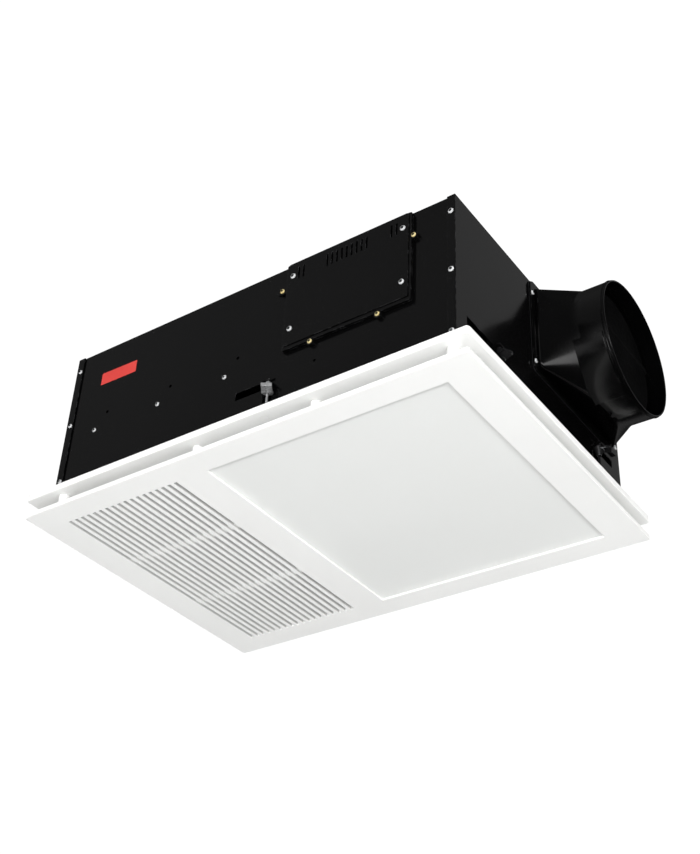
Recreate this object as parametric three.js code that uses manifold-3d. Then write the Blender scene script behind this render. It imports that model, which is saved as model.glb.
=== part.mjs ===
// Ceiling mounted fan heater with a light panel: a steel box that sits above the ceiling, a white
// mounting frame against the ceiling, and a white front cover hung below it on posts.
// Millimetres, +Z up. The origin is the middle of the mounting frame's top face, which lies against
// the ceiling. +X is the duct end, and the wiring box is on the -Y side.
import * as THREE from "three";
import { mergeVertices } from "three/addons/utils/BufferGeometryUtils.js";
import Module from "manifold-3d";

const wasm = await Module();
wasm.setup();

// ---------------------------------------------------------------- Driving dimensions

const fit = 0.3; // gap between neighbours that touch
const throughCut = 2; // how far a cutting tool reaches past what it cuts
const overlap = 1; // how far joined shapes run into each other
const fewSides = 12; // facets of small, middling and large round shapes
const someSides = 24;
const manySides = 40;

// Front cover
const coverLength = 560;
const coverWidth = 388;
const coverEdge = 5.5; // height of the cover's rim
const coverPlate = 3;
const coverRimWidth = 2.5;
const coverCorner = 3;
const airGap = 16; // between the cover's rim and the frame

// Mounting frame
const frameOverhang = 1; // how far the frame reaches past the cover, each side
const frameThickness = 8;
const frameCorner = 4;
const frameLedge = 8.5; // how far the frame reaches in under the housing's end walls
const frameSideLedge = 8;

// Housing
const coverPastEnd = 21.5; // how far the cover reaches past the housing, at each end and side
const coverPastSide = 18;
const housingHeight = 191;
const sheet = 1.5;
const endStrip = 9.5; // the end panels' strips folded round onto the long sides
const topFlange = 12;

// Light panel
const panelFromSide = 30.5; // from the cover's long edges to the panel opening
const panelFromEnd = 39.5; // from the cover's +X edge to the panel opening
const panelFromGrille = 40.84; // from the last slot's edge to the panel opening
const diffuserThickness = 2;
const diffuserLap = 3;
const trayClearance = 2;
const trayWall = 1.5;
const trayRise = 12.5;
const ledBoardThickness = 1.6;
const ledBoardMargin = 8;
const ledCount = 6;
const ledSize = 5;
const ledHeight = 1;

// Grille
const slotCount = 18;
const slotWidth = 4.4;
const slotPitch = 8.88;
const slotsFromSide = 30.5; // from the cover's long edges to the slots' ends
const grilleFromEnd = 39; // from the cover's -X edge to the first slot's middle
const grilleMargin = 5; // the thick part of the grille reaches this far past its slots
const ribOffset = 58; // cross ribs inside the slots
const ribWidth = 9;
const ribSetback = 2.8; // from the cover's face to the ribs

// Cover posts, in two rows under the frame
const postFromHeaterEnd = 44; // from the cover's short edges to the corner posts
const postFromDuctEnd = 23;
const middlePosts = [-40, 116];
const postRadius = 6;
const postInset = 13; // from the cover's long edge
const pinRadius = 3;
const pinTipRadius = 1.8;
const pinRise = 3;
const pinTip = 4;
const pinRoot = 8;

// Exhaust blower
const wheelRadius = 76;
const wheelHeight = 66;
const wheelFromDuctEnd = 154.5;
const wheelCentreY = -10;
const bladeCount = 26;
const bladeDepth = 13;
const bladeInset = 1; // the blades stop this far short of the wheel's edges
const bladeThickness = 1.8;
const bladeTurn = 28; // degrees from straight out
const wheelRing = 3;
const wheelDisc = 2.5;
const hubRadius = 11;
const hubLength = 22;
const shaftRadius = 4;
const shaftClearance = 0.4;
const shaftInMotor = 5; // from the shaft's end to the motor's far face
const shaftEndGap = 1;
const shaftHoleRadius = 6;
const exhaustMotorRadius = 44;
const exhaustMotorHeight = 26;
const motorBossRadius = 10;
const motorBossHeight = 3;
const wheelToMotor = 3.7;
const scrollWall = 2;
const scrollFromTop = 7; // from the housing's top to the scroll's
const tongueGap = 12; // between the wheel and the volute's tongue
const scrollFromDriver = 4.2; // between the volute's widest side and the lamp's driver
const outletOverlap = 4; // how far the outlet's inner wall lies above the wheel's middle
const inletRadius = 62;
const inletLip = 6;
const wheelClearance = 6;

// Heater
const ductClearance = 0.8; // from the grille's slots to the duct's inside
const ductWall = 1.5;
const ductBottom = -6;
const ductTop = 60;
const ductFootLap = 4; // how far the duct's feet rest on the frame
const ductFootLength = 80;
const elementThickness = 20;
const elementBottom = 18;
const finCount = 64;
const finThickness = 1.2;
const finSetback = 2; // from the bars' faces to the fins
const elementBar = 8;
const heaterWheelRadius = 70;
const heaterWheelHeight = 22;
const heaterWheelGap = 2; // between the wheel and the shroud's plate
const heaterBlades = 7;
const heaterBladeChord = 28.6;
const heaterBladeTilt = 32; // degrees
const heaterBladeRoot = 4; // how far the blades run into the hub
const heaterBladeThickness = 2;
const heaterHubRadius = 24;
const shroudPlate = 2;
const shroudHeight = 32;
const shroudWall = 2;
const shroudClearance = 4;
const heaterMotorRadius = 34;
const heaterMotorHeight = 42;
const heaterMotorGap = 5;
const bracketWidth = 40;
const bracketSheet = 2;
const bracketBeside = 8; // from the motor's side to the bracket's leg
const bracketFoot = 16;
const cutoutRadius = 8;
const cutoutHeight = 6;
const cutoutFromEnd = 18;
const cutoutFromSide = 24;
const cutoutEar = 12; // from its middle to the ears' ends
const cutoutEarWidth = 8;
const cutoutEarSheet = 1.2;
const cutoutBladeNear = 3.5; // its two flat terminals, from the middle
const cutoutBladeFar = 5;
const cutoutBladeWidth = 6;
const cutoutBladeRise = 8;

// Wiring box in the -Y wall
const boxFromEnd = 60.5; // from the housing's duct end to the opening
const boxLength = 136;
const boxHeight = 90;
const boxFromTop = 13;
const boxDepth = 38;
const boxRoofGap = 4; // between the box and the roof's cut-back flange
const boxPlateMargin = { left: 9.5, right: 15.4, below: 18.5, above: 11 }; // round the opening
const boxPlateCorner = 3;
const earRadius = 6;
const earOut = 8.9; // the left ear's screw, from the plate's edge
const earIn = 4.1; // the right ear's screw, from the plate's edge
const earBelowTop = 28.2;
const footEarLeft = 32.4; // the two lower ears' screws, from the plate's edges
const footEarRight = 46.2;
const footEarRise = 6.4;
const lidMargin = { left: 2, right: 6.9, below: 8, above: 0.5 }; // from the plate's edges
const lidRise = 3.5;
const ventWidth = 2;
const ventLength = 16.5;
const ventFromTop = 8;
const ventPitch = 6.2;
const ventFromSide = 14.5;
const sideVents = 2; // near each end of the lid
const middleVents = 9;
const terminalLength = 84;
const terminalDepth = 18;
const terminalHeight = 20;
const terminalWays = 6;
const terminalBore = 3;
const terminalBoreDepth = 12;
const terminalRise = 40;
const grommetRadius = 10;
const grommetBore = 5;
const grommetLip = 3;
const grommetLipHeight = 2.5;

// Duct adaptor on the +X wall
const flangeFromSide = 6.5; // from the housing's +Y side to the adaptor's flange
const flangeHalfWidth = 98.5;
const flangeHalfHeight = 60.5;
const flangeThickness = 3;
const flangeCorner = 8;
const gasketThickness = 1.5;
const throatHalfWidth = 86;
const throatHalfHeight = 50;
const throatCorner = 1;
const adaptorWall = 2;
const funnelSteps = 4;
const pointsPerStretch = 7; // points on a section between the throat's corners and its middles
const collarRadius = 77.5;
const collarStart = 299;
const collarEnd = 334;
const beadRise = 1.2;
const beadWidth = 2.6;
const beadFromRim = 8;
const flapThickness = 1.6;
const flapClearance = 4.5;
const flapPlace = 15; // from the collar's start to the flap's middle
const flapHingeRise = 20;
const axleRadius = 2;
const sleeveRadius = 3.6;
const axleClearance = 0.4;

// Ceiling clamps
const clampOut = 7; // from the wall's face to the screw's axis
const clampScrewRadius = 2;
const clampScrewHead = 4;
const clampHeadHeight = 2.8;
const clampScrewTip = 3; // how far the screw stands above its tab
const clampTab = 1.5;
const clampTabReach = 11.5;
const clampTabArmSide = 6.5; // how far the tab reaches from the screw, towards the slot's arm
const clampTabEndSide = 3.2;
const clampLegRise = 9; // how far the bracket's leg rises past the slot, inside the wall
const dogPlate = 2.5;
const dogWidth = 11;
const dogReach = 14;
const dogLip = 1.2;
const dogLipSheet = 1.6;
const dogBoss = 4.5; // how far the boss rises over the dog's plate
const dogBossRadius = 3.4;
const dogHubTop = 6.5;
const dogHubBottom = 3.4;
const dogHubHeight = 7;
const screwClearance = 0.35;
const slotHeight = 9.5;
const slotArm = 52; // length of the wall slot's level arm
const slotLeg = 12; // width of its upright leg
const slotEnd = 3.5; // from the screw to the near end of the slot's arm
const slotLegStart = 4; // from the arm's end to the leg
const dogBelowTab = 0.5;
const clampLow = 41; // height of most clamps' wall slots
const clampBelowFlange = 14; // the one under the adaptor's flange
const longClampPlace = 41; // along X, from the middle
const endClampFromSide = 67; // along Y, from the housing's sides

// Electrical pieces on the walls
const driverLength = 130;
const driverDepth = 30;
const driverHeight = 44;
const driverPlace = 20;
const driverFromTop = 51; // from the housing's top to the driver's
const driverEar = 12; // how far its feet reach past its ends
const driverEarSheet = 2;
const driverEarInset = 12;
const capacitorRadius = 16;
const capacitorLength = 50;
const capacitorPlace = -40;
const capacitorFromTop = 41;
const capacitorClip = 6;
const clipInset = 10;
const clipHeight = 16;

// ---------------------------------------------------------------- Heights and places that follow

const frameBottom = -frameThickness;
const coverTop = frameBottom - airGap;
const coverBottom = coverTop - coverEdge;
const plateTop = coverBottom + coverPlate;
const frameLength = coverLength + 2 * frameOverhang;
const frameWidth = coverWidth + 2 * frameOverhang;
const halfLength = coverLength / 2 - coverPastEnd;
const halfWidth = coverWidth / 2 - coverPastSide;
const wallFoot = fit;
const firstSlot = -coverLength / 2 + grilleFromEnd;
const lastSlot = firstSlot + (slotCount - 1) * slotPitch;
const grilleMiddle = (firstSlot + lastSlot) / 2;
const grilleLength = lastSlot - firstSlot + slotWidth;
const panelRight = coverLength / 2 - panelFromEnd;
const panelLeft = lastSlot + slotWidth / 2 + panelFromGrille;
const panelLength = panelRight - panelLeft;
const panelMiddle = (panelLeft + panelRight) / 2;
const panelWidth = coverWidth - 2 * panelFromSide;
const slotLength = coverWidth - 2 * slotsFromSide;
const postY = coverWidth / 2 - postInset;
const postTop = frameBottom - fit;
const cornerPosts = [-coverLength / 2 + postFromHeaterEnd, coverLength / 2 - postFromDuctEnd];
const bothSides = (places) => [-1, 1].flatMap((side) => places.map((x) => [x, side * postY]));
const boxOpeningRight = halfLength - boxFromEnd;
const boxOpeningLeft = boxOpeningRight - boxLength;
const boxOpeningTop = housingHeight - boxFromTop;
const boxOpeningBottom = boxOpeningTop - boxHeight;
const boxPlateLeft = boxOpeningLeft - boxPlateMargin.left;
const boxPlateRight = boxOpeningRight + boxPlateMargin.right;
const boxPlateBottom = boxOpeningBottom - boxPlateMargin.below;
const boxPlateTop = boxOpeningTop + boxPlateMargin.above;
const boxFace = -halfWidth - 2 * fit - sheet; // outer face of the wiring box's plate
const endFace = halfLength; // outer face of the +X wall
const wheelCentreX = halfLength - wheelFromDuctEnd;
const scrollTop = housingHeight - scrollFromTop;
const scrollHeight =
  2 * scrollWall +
  wheelClearance +
  wheelHeight +
  wheelToMotor +
  motorBossHeight +
  exhaustMotorHeight +
  fit;
const scrollBottom = scrollTop - scrollHeight;
const adaptorY = halfWidth - flangeFromSide - flangeHalfWidth;
const adaptorZ = (scrollTop + scrollBottom) / 2;
const clampHigh = adaptorZ - flangeHalfHeight - clampBelowFlange;
const endClampPlace = halfWidth - endClampFromSide;
const wallInside = halfWidth - sheet - fit; // what is fixed to a long wall's inside starts here

// ---------------------------------------------------------------- Solids

// Turn a closed three.js geometry into a solid, so that it can be joined and cut.
function solid(geometry) {
  const bare = geometry.index ? geometry.toNonIndexed() : geometry.clone();
  bare.deleteAttribute("normal");
  bare.deleteAttribute("uv");
  const merged = mergeVertices(bare, 1e-4);
  return new wasm.Manifold(
    new wasm.Mesh({
      numProp: 3,
      vertProperties: new Float32Array(merged.attributes.position.array),
      triVerts: new Uint32Array(merged.index.array),
    }),
  );
}

// Turn a solid back into a geometry.
function geometryOf(made) {
  const mesh = made.getMesh();
  const geometry = new THREE.BufferGeometry();
  geometry.setAttribute("position", new THREE.BufferAttribute(mesh.vertProperties, 3));
  geometry.setIndex(new THREE.BufferAttribute(mesh.triVerts, 1));
  return geometry.toNonIndexed();
}

function join(...parts) {
  return parts.reduce((whole, part) => whole.add(part));
}

function cut(body, ...tools) {
  return tools.reduce((left, tool) => left.subtract(tool), body);
}

// A box between two corners, given in either order.
function block(x0, x1, y0, y1, z0, z1) {
  const geometry = new THREE.BoxGeometry(Math.abs(x1 - x0), Math.abs(y1 - y0), Math.abs(z1 - z0));
  geometry.translate((x0 + x1) / 2, (y0 + y1) / 2, (z0 + z1) / 2);
  return solid(geometry);
}

// An upright cylinder or cone standing at (x, y) between two heights.
function post(x, y, z0, z1, radius, sides = someSides, topRadius = radius) {
  const geometry = new THREE.CylinderGeometry(topRadius, radius, z1 - z0, sides);
  geometry.rotateX(Math.PI / 2);
  geometry.translate(x, y, (z0 + z1) / 2);
  return solid(geometry);
}

// A cylinder lying along X or Y between two places.
function rod(axis, from, to, across, z, radius, sides = someSides) {
  const geometry = new THREE.CylinderGeometry(radius, radius, to - from, sides);
  if (axis === "x") {
    geometry.rotateZ(-Math.PI / 2);
    geometry.translate((from + to) / 2, across, z);
  } else {
    geometry.translate(across, (from + to) / 2, z);
  }
  return solid(geometry);
}

// A rectangle with round corners, as a flat outline.
function roundedOutline(x0, x1, y0, y1, radius) {
  const outline = new THREE.Shape();
  outline.moveTo(x0 + radius, y0);
  outline.lineTo(x1 - radius, y0);
  outline.absarc(x1 - radius, y0 + radius, radius, -Math.PI / 2, 0);
  outline.lineTo(x1, y1 - radius);
  outline.absarc(x1 - radius, y1 - radius, radius, 0, Math.PI / 2);
  outline.lineTo(x0 + radius, y1);
  outline.absarc(x0 + radius, y1 - radius, radius, Math.PI / 2, Math.PI);
  outline.lineTo(x0, y0 + radius);
  outline.absarc(x0 + radius, y0 + radius, radius, Math.PI, 1.5 * Math.PI);
  return outline;
}

// A flat outline raised from z0 to z1.
function raised(outline, z0, z1, curveSegments = 6) {
  const geometry = new THREE.ExtrudeGeometry(outline, {
    depth: z1 - z0,
    bevelEnabled: false,
    curveSegments,
  });
  geometry.translate(0, 0, z0);
  return solid(geometry);
}

// A slab with round corners between two heights.
function slab(x0, x1, y0, y1, z0, z1, radius) {
  return raised(roundedOutline(x0, x1, y0, y1, radius), z0, z1);
}

// An outline drawn in X and Z, as deep as y0 to y1.
function upright(outline, y0, y1, curveSegments = 6) {
  const geometry = new THREE.ExtrudeGeometry(outline, {
    depth: y1 - y0,
    bevelEnabled: false,
    curveSegments,
  });
  geometry.rotateX(Math.PI / 2);
  geometry.translate(0, y1, 0);
  return solid(geometry);
}

// An outline drawn in Y and Z, as deep as x0 to x1.
function sideways(outline, x0, x1, curveSegments = 6) {
  const geometry = new THREE.ExtrudeGeometry(outline, {
    depth: x1 - x0,
    bevelEnabled: false,
    curveSegments,
  });
  geometry.rotateX(Math.PI / 2);
  geometry.rotateZ(Math.PI / 2);
  geometry.translate(x0, 0, 0);
  return solid(geometry);
}

// ---------------------------------------------------------------- Materials and the assembly

function paint(color, roughness, metalness = 0) {
  return new THREE.MeshStandardMaterial({ color, roughness, metalness });
}

const whitePlastic = paint(0xf2f2f0, 0.55);
const opal = paint(0xe6e6e4, 0.6);
const blackSteel = paint(0x1a1a1b, 0.5, 0.3);
const blackPlastic = paint(0x0c0c0d, 0.25);
const zinc = paint(0xb9bcc0, 0.35, 0.9);
const steel = paint(0x9a9da1, 0.4, 0.9);
const greyPlastic = paint(0x55585c, 0.6);
const circuitWhite = paint(0xe9ebe8, 0.5);
const rubber = paint(0x18181a, 0.85);
const ceramic = paint(0xc9bfa8, 0.7);
const foam = paint(0x2b2b2d, 0.95);
const nylon = paint(0xefefec, 0.5);

const fanHeater = new THREE.Group();

function add(name, made, material) {
  const mesh = new THREE.Mesh(geometryOf(made), material);
  mesh.name = name;
  fanHeater.add(mesh);
  return mesh;
}

// ---------------------------------------------------------------- Clamp places

// Each clamp stands outside a wall. `turn` is the wall's outward direction, in quarter turns from +X,
// `along` is its place on the wall, `arm` says which way the wall slot's level arm runs from it, and
// `aim` turns its dog from straight out, in degrees.
const clamps = [
  { name: "front", turn: 3, along: longClampPlace, arm: -1, aim: 33, height: clampLow },
  { name: "rear", turn: 1, along: -longClampPlace, arm: 1, aim: 33, height: clampLow },
  { name: "duct_end_near", turn: 0, along: -endClampPlace, arm: -1, aim: -24, height: clampLow },
  { name: "duct_end_far", turn: 0, along: endClampPlace, arm: 1, aim: 24, height: clampHigh },
  { name: "heater_end_near", turn: 2, along: -endClampPlace, arm: -1, aim: 24, height: clampLow },
  { name: "heater_end_far", turn: 2, along: endClampPlace, arm: 1, aim: -24, height: clampLow },
];

// Turns the clamp's own frame, x outwards and y along the wall, into the object's frame.
function onWall(made, clamp) {
  const face = clamp.turn % 2 === 0 ? halfLength : halfWidth;
  return made.translate([face, mirrored(clamp) * clamp.along, 0]).rotate([0, 0, clamp.turn * 90]);
}

// On the +X and -Y walls the clamp's y grows with the object's X or Y, on the others it falls.
function mirrored(clamp) {
  return clamp.turn === 0 || clamp.turn === 3 ? 1 : -1;
}

// A block on a wall from x0 to x1, that reaches from `near` to `far` towards the slot's arm.
function armBlock(clamp, x0, x1, near, far, z0, z1) {
  const direction = clamp.arm * mirrored(clamp);
  return block(x0, x1, direction * near, direction * far, z0, z1);
}

// The L-shaped slot that a clamp works in front of: a level arm and a leg down to the wall's foot.
function clampSlot(clamp) {
  const x0 = -sheet - throughCut;
  const x1 = throughCut;
  const legNear = slotLegStart - slotEnd;
  const armBottom = clamp.height - slotHeight / 2;
  const armTop = armBottom + slotHeight;
  const arm = armBlock(clamp, x0, x1, -slotEnd, slotArm - slotEnd, armBottom, armTop);
  const leg = armBlock(clamp, x0, x1, legNear, legNear + slotLeg, -throughCut, armBottom + overlap);
  return onWall(join(arm, leg), clamp);
}

// ---------------------------------------------------------------- Mounting frame

const frameOpeningX = halfLength - frameLedge;
const frameOpeningY = halfWidth - frameSideLedge;

// A flat white ring against the ceiling. The housing stands on its inner edge.
function mountingFrame() {
  const outer = slab(
    -frameLength / 2,
    frameLength / 2,
    -frameWidth / 2,
    frameWidth / 2,
    frameBottom,
    0,
    frameCorner,
  );
  const opening = slab(
    -frameOpeningX,
    frameOpeningX,
    -frameOpeningY,
    frameOpeningY,
    frameBottom - throughCut,
    throughCut,
    frameCorner,
  );
  const holes = [];
  const low = frameBottom - throughCut;
  for (const clamp of clamps) {
    const sinkTop = frameBottom + clampHeadHeight + 2 * fit;
    const hole = post(clampOut, 0, low, throughCut, clampScrewRadius + screwClearance, fewSides);
    const sink = post(clampOut, 0, low, sinkTop, clampScrewHead + fit, fewSides);
    holes.push(onWall(join(hole, sink), clamp));
  }
  for (const [x, y] of bothSides(cornerPosts)) {
    holes.push(post(x, y, low, throughCut, pinRadius + fit, fewSides));
  }
  return cut(outer, opening, ...holes);
}
add("mounting_frame", mountingFrame(), whitePlastic);

// ---------------------------------------------------------------- Front cover

// A white tray-shaped plate with the light opening, the slotted grille and its cross ribs, and eight
// round posts that stand against the frame.
function frontCover() {
  const hl = coverLength / 2;
  const hw = coverWidth / 2;
  const outer = slab(-hl, hl, -hw, hw, coverBottom, coverTop, coverCorner);
  const hollow = block(
    -hl + coverRimWidth,
    hl - coverRimWidth,
    -hw + coverRimWidth,
    hw - coverRimWidth,
    plateTop,
    coverTop + throughCut,
  );
  const lightOpening = block(
    panelLeft,
    panelRight,
    -panelWidth / 2,
    panelWidth / 2,
    coverBottom - throughCut,
    plateTop + throughCut,
  );
  const slots = [];
  for (let i = 0; i < slotCount; i += 1) {
    const x = firstSlot + i * slotPitch;
    const half = slotWidth / 2;
    const low = coverBottom - throughCut;
    const high = coverTop + throughCut;
    slots.push(block(x - half, x + half, -slotLength / 2, slotLength / 2, low, high));
  }
  const grilleEnd = grilleMiddle + grilleLength / 2 + grilleMargin;
  const grilleStart = grilleMiddle - grilleLength / 2 - grilleMargin;
  const grilleY = slotLength / 2 + grilleMargin;
  const bars = block(grilleStart, grilleEnd, -grilleY, grilleY, plateTop - overlap, coverTop);
  const ribs = [-1, 1].map((side) =>
    block(
      grilleStart,
      grilleEnd,
      side * ribOffset - ribWidth / 2,
      side * ribOffset + ribWidth / 2,
      coverBottom + ribSetback,
      coverTop,
    ),
  );
  const posts = bothSides([...cornerPosts, ...middlePosts]).map(([x, y]) =>
    post(x, y, plateTop - overlap, postTop, postRadius),
  );
  const sockets = bothSides(cornerPosts).map(([x, y]) =>
    post(x, y, postTop - pinRoot, postTop + throughCut, pinRadius, fewSides),
  );
  const plate = cut(join(cut(outer, hollow, lightOpening), bars), ...slots);
  return cut(join(plate, ...ribs, ...posts), ...sockets);
}
add("front_cover", frontCover(), whitePlastic);

// Split nylon pins, pressed into the corner posts, that snap through the frame.
bothSides(cornerPosts).forEach(([x, y], i) => {
  const stemRadius = pinRadius - fit;
  const stem = post(x, y, postTop - pinRoot + fit, pinRise, stemRadius, fewSides);
  const tip = post(x, y, pinRise, pinRise + pinTip, stemRadius, fewSides, pinTipRadius);
  add(`cover_snap_pin_${i + 1}`, join(stem, tip), nylon);
});

// ---------------------------------------------------------------- Light panel

const diffuserBottom = plateTop + fit;
const diffuserTop = diffuserBottom + diffuserThickness;
const trayX = panelLength / 2 + diffuserLap + trayClearance;
const trayY = panelWidth / 2 + diffuserLap + trayClearance;
const trayTop = plateTop + fit + trayRise;

add(
  "light_diffuser",
  block(
    panelLeft - diffuserLap,
    panelRight + diffuserLap,
    -panelWidth / 2 - diffuserLap,
    panelWidth / 2 + diffuserLap,
    diffuserBottom,
    diffuserTop,
  ),
  opal,
);

// A folded tray over the diffuser, open downwards.
function lightTray() {
  const outer = block(
    panelMiddle - trayX - trayWall,
    panelMiddle + trayX + trayWall,
    -trayY - trayWall,
    trayY + trayWall,
    diffuserBottom,
    trayTop,
  );
  const hollow = block(
    panelMiddle - trayX,
    panelMiddle + trayX,
    -trayY,
    trayY,
    diffuserBottom - throughCut,
    trayTop - trayWall,
  );
  return cut(outer, hollow);
}
add("light_tray", lightTray(), steel);

// The lamp board hangs under the tray's roof, with its chips in rows.
function lampBoard() {
  const x = panelLength / 2 - ledBoardMargin;
  const y = panelWidth / 2 - ledBoardMargin;
  const top = trayTop - trayWall - fit;
  const bottom = top - ledBoardThickness;
  const chips = [];
  for (let i = 0; i < ledCount; i += 1) {
    for (let j = 0; j < ledCount; j += 1) {
      const cx = panelMiddle + ((i + 0.5) / ledCount - 0.5) * 2 * x;
      const cy = ((j + 0.5) / ledCount - 0.5) * 2 * y;
      const half = ledSize / 2;
      const low = bottom - ledHeight;
      const high = bottom + ledBoardThickness / 2;
      chips.push(block(cx - half, cx + half, cy - half, cy + half, low, high));
    }
  }
  return join(block(panelMiddle - x, panelMiddle + x, -y, y, bottom, top), ...chips);
}
add("lamp_board", lampBoard(), circuitWhite);

// ---------------------------------------------------------------- Housing

const sideLength = halfLength - sheet - fit;

function slotsOn(turn) {
  return clamps.filter((clamp) => clamp.turn === turn).map(clampSlot);
}

// The -Y long wall, with the wiring box's opening and a clamp slot.
function frontWall() {
  const wall = block(-sideLength, sideLength, -halfWidth, -halfWidth + sheet, wallFoot, housingHeight);
  const opening = block(
    boxOpeningLeft,
    boxOpeningRight,
    -halfWidth - throughCut,
    -halfWidth + sheet + throughCut,
    boxOpeningBottom,
    boxOpeningTop,
  );
  return cut(wall, opening, ...slotsOn(3));
}
add("housing_front_wall", frontWall(), blackSteel);

const rearWall = block(-sideLength, sideLength, halfWidth - sheet, halfWidth, wallFoot, housingHeight);
add("housing_rear_wall", cut(rearWall, ...slotsOn(1)), blackSteel);

// An end wall with its strips folded round onto the long walls.
function endWall(side) {
  const inner = side * (halfLength - sheet);
  const outer = side * halfLength;
  const stripEnd = side * (halfLength - endStrip);
  const y = halfWidth + fit + sheet;
  const plate = block(inner, outer, -y, y, wallFoot, housingHeight);
  const strips = [-1, 1].map((s) =>
    block(stripEnd, outer, s * (halfWidth + fit), s * y, wallFoot, housingHeight),
  );
  return join(plate, ...strips);
}

const throatTool = block(
  endFace - sheet - throughCut,
  endFace + throughCut,
  adaptorY - throatHalfWidth,
  adaptorY + throatHalfWidth,
  adaptorZ - throatHalfHeight,
  adaptorZ + throatHalfHeight,
);
add("housing_duct_end_wall", cut(endWall(1), throatTool, ...slotsOn(0)), blackSteel);
add("housing_heater_end_wall", cut(endWall(-1), ...slotsOn(2)), blackSteel);

// The roof, with its long edges folded down inside the walls.
const roofY = wallInside;
const roofX = sideLength;
const grommetX = (boxOpeningLeft + boxOpeningRight) / 2;
const grommetY = -halfWidth + boxDepth / 2;

function housingRoof() {
  const plate = block(-roofX, roofX, -roofY, roofY, housingHeight - sheet, housingHeight);
  const flangeBottom = housingHeight - topFlange;
  const flanges = [-1, 1].map((side) =>
    block(-roofX, roofX, side * roofY, side * (roofY - sheet), flangeBottom, housingHeight),
  );
  const frontGap = block(
    boxOpeningLeft - boxRoofGap,
    boxOpeningRight + boxRoofGap,
    -roofY - throughCut,
    -roofY + sheet + throughCut,
    flangeBottom - throughCut,
    housingHeight - sheet,
  );
  const low = housingHeight - sheet - throughCut;
  const cableHole = post(grommetX, grommetY, low, housingHeight + throughCut, grommetRadius);
  return cut(join(plate, ...flanges), frontGap, cableHole);
}
add("housing_roof", housingRoof(), blackSteel);

// ---------------------------------------------------------------- Exhaust blower

const wheelBottom = scrollBottom + scrollWall + wheelClearance;
const wheelTop = wheelBottom + wheelHeight;
const outletInner = wheelCentreY + outletOverlap;
const outletEnd = halfLength - sheet - fit;
const scrollSide = wallInside - driverDepth - scrollFromDriver;

// The volute's outline: its radius grows steadily, clockwise from the tongue beside the outlet.
function scrollOutline(inset) {
  const outline = new THREE.Shape();
  const steps = 30;
  const end = outletEnd + (inset > 0 ? throughCut : 0);
  const start = wheelRadius + tongueGap;
  const growth = scrollSide - wheelCentreY - start;
  outline.moveTo(end, outletInner + inset);
  for (let i = 0; i <= steps; i += 1) {
    const share = i / steps;
    const angle = -share * 1.5 * Math.PI;
    const radius = start + share * growth - inset;
    outline.lineTo(wheelCentreX + radius * Math.cos(angle), wheelCentreY + radius * Math.sin(angle));
  }
  outline.lineTo(end, scrollSide - inset);
  return outline;
}

// An upright cylinder round the blower's axis.
function onWheel(z0, z1, radius, sides = manySides) {
  return post(wheelCentreX, wheelCentreY, z0, z1, radius, sides);
}

const roofHole = onWheel(
  scrollTop - scrollWall - throughCut,
  scrollTop + throughCut,
  shaftHoleRadius,
  someSides,
);
const scrollShell = cut(
  raised(scrollOutline(0), scrollBottom + scrollWall + fit, scrollTop),
  raised(scrollOutline(scrollWall), scrollBottom, scrollTop - scrollWall),
  roofHole,
);
add("exhaust_scroll", scrollShell, blackPlastic);

// The floor of the scroll, with the round inlet and its lip.
const floorTop = scrollBottom + scrollWall;
const lipBottom = scrollBottom - inletLip;
const scrollFloor = cut(
  join(
    raised(scrollOutline(0), scrollBottom, floorTop),
    onWheel(lipBottom, floorTop, inletRadius + scrollWall),
  ),
  onWheel(lipBottom - throughCut, floorTop + throughCut, inletRadius),
);
add("exhaust_inlet_plate", scrollFloor, blackPlastic);

// The blower wheel: curved-forward blades between a disc and a ring, on a hub.
function exhaustWheel() {
  const disc = onWheel(wheelTop - wheelDisc, wheelTop, wheelRadius);
  const ringTop = wheelBottom + wheelRing;
  const ring = cut(
    onWheel(wheelBottom, ringTop, wheelRadius),
    onWheel(wheelBottom - throughCut, ringTop + throughCut, wheelRadius - bladeDepth),
  );
  const hubBottom = wheelTop - hubLength;
  const hub = onWheel(hubBottom, wheelTop, hubRadius, someSides);
  const blade = new THREE.BoxGeometry(
    bladeDepth - bladeInset,
    bladeThickness,
    wheelHeight - 2 * bladeInset,
  );
  blade.rotateZ(THREE.MathUtils.degToRad(bladeTurn));
  blade.translate(wheelRadius - bladeDepth / 2 - bladeInset, 0, wheelBottom + wheelHeight / 2);
  const blades = [];
  for (let i = 0; i < bladeCount; i += 1) {
    const turned = solid(blade).rotate([0, 0, (i * 360) / bladeCount]);
    blades.push(turned.translate([wheelCentreX, wheelCentreY, 0]));
  }
  const boreRadius = shaftRadius + shaftClearance;
  const bore = onWheel(hubBottom - throughCut, wheelTop + throughCut, boreRadius, someSides);
  return cut(join(disc, ring, hub, ...blades), bore);
}
add("exhaust_wheel", exhaustWheel(), blackPlastic);

const motorTop = scrollTop - scrollWall - fit;
const motorBottom = motorTop - exhaustMotorHeight;
const bossBottom = motorBottom - motorBossHeight;
const exhaustShaftTop = motorTop - shaftInMotor;
const exhaustMotor = cut(
  join(
    onWheel(motorBottom, motorTop, exhaustMotorRadius),
    onWheel(bossBottom, motorBottom + overlap, motorBossRadius, someSides),
  ),
  onWheel(
    bossBottom - throughCut,
    exhaustShaftTop + shaftEndGap,
    shaftRadius + shaftClearance,
    someSides,
  ),
);
add("exhaust_motor", exhaustMotor, steel);
add("exhaust_shaft", onWheel(wheelTop - hubLength, exhaustShaftTop, shaftRadius, someSides), zinc);

// ---------------------------------------------------------------- Heater

const ductX0 = grilleMiddle - grilleLength / 2 - ductClearance - ductWall;
const ductX1 = grilleMiddle + grilleLength / 2 + ductClearance + ductWall;
const ductY = slotLength / 2 + ductClearance + ductWall;

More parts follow.
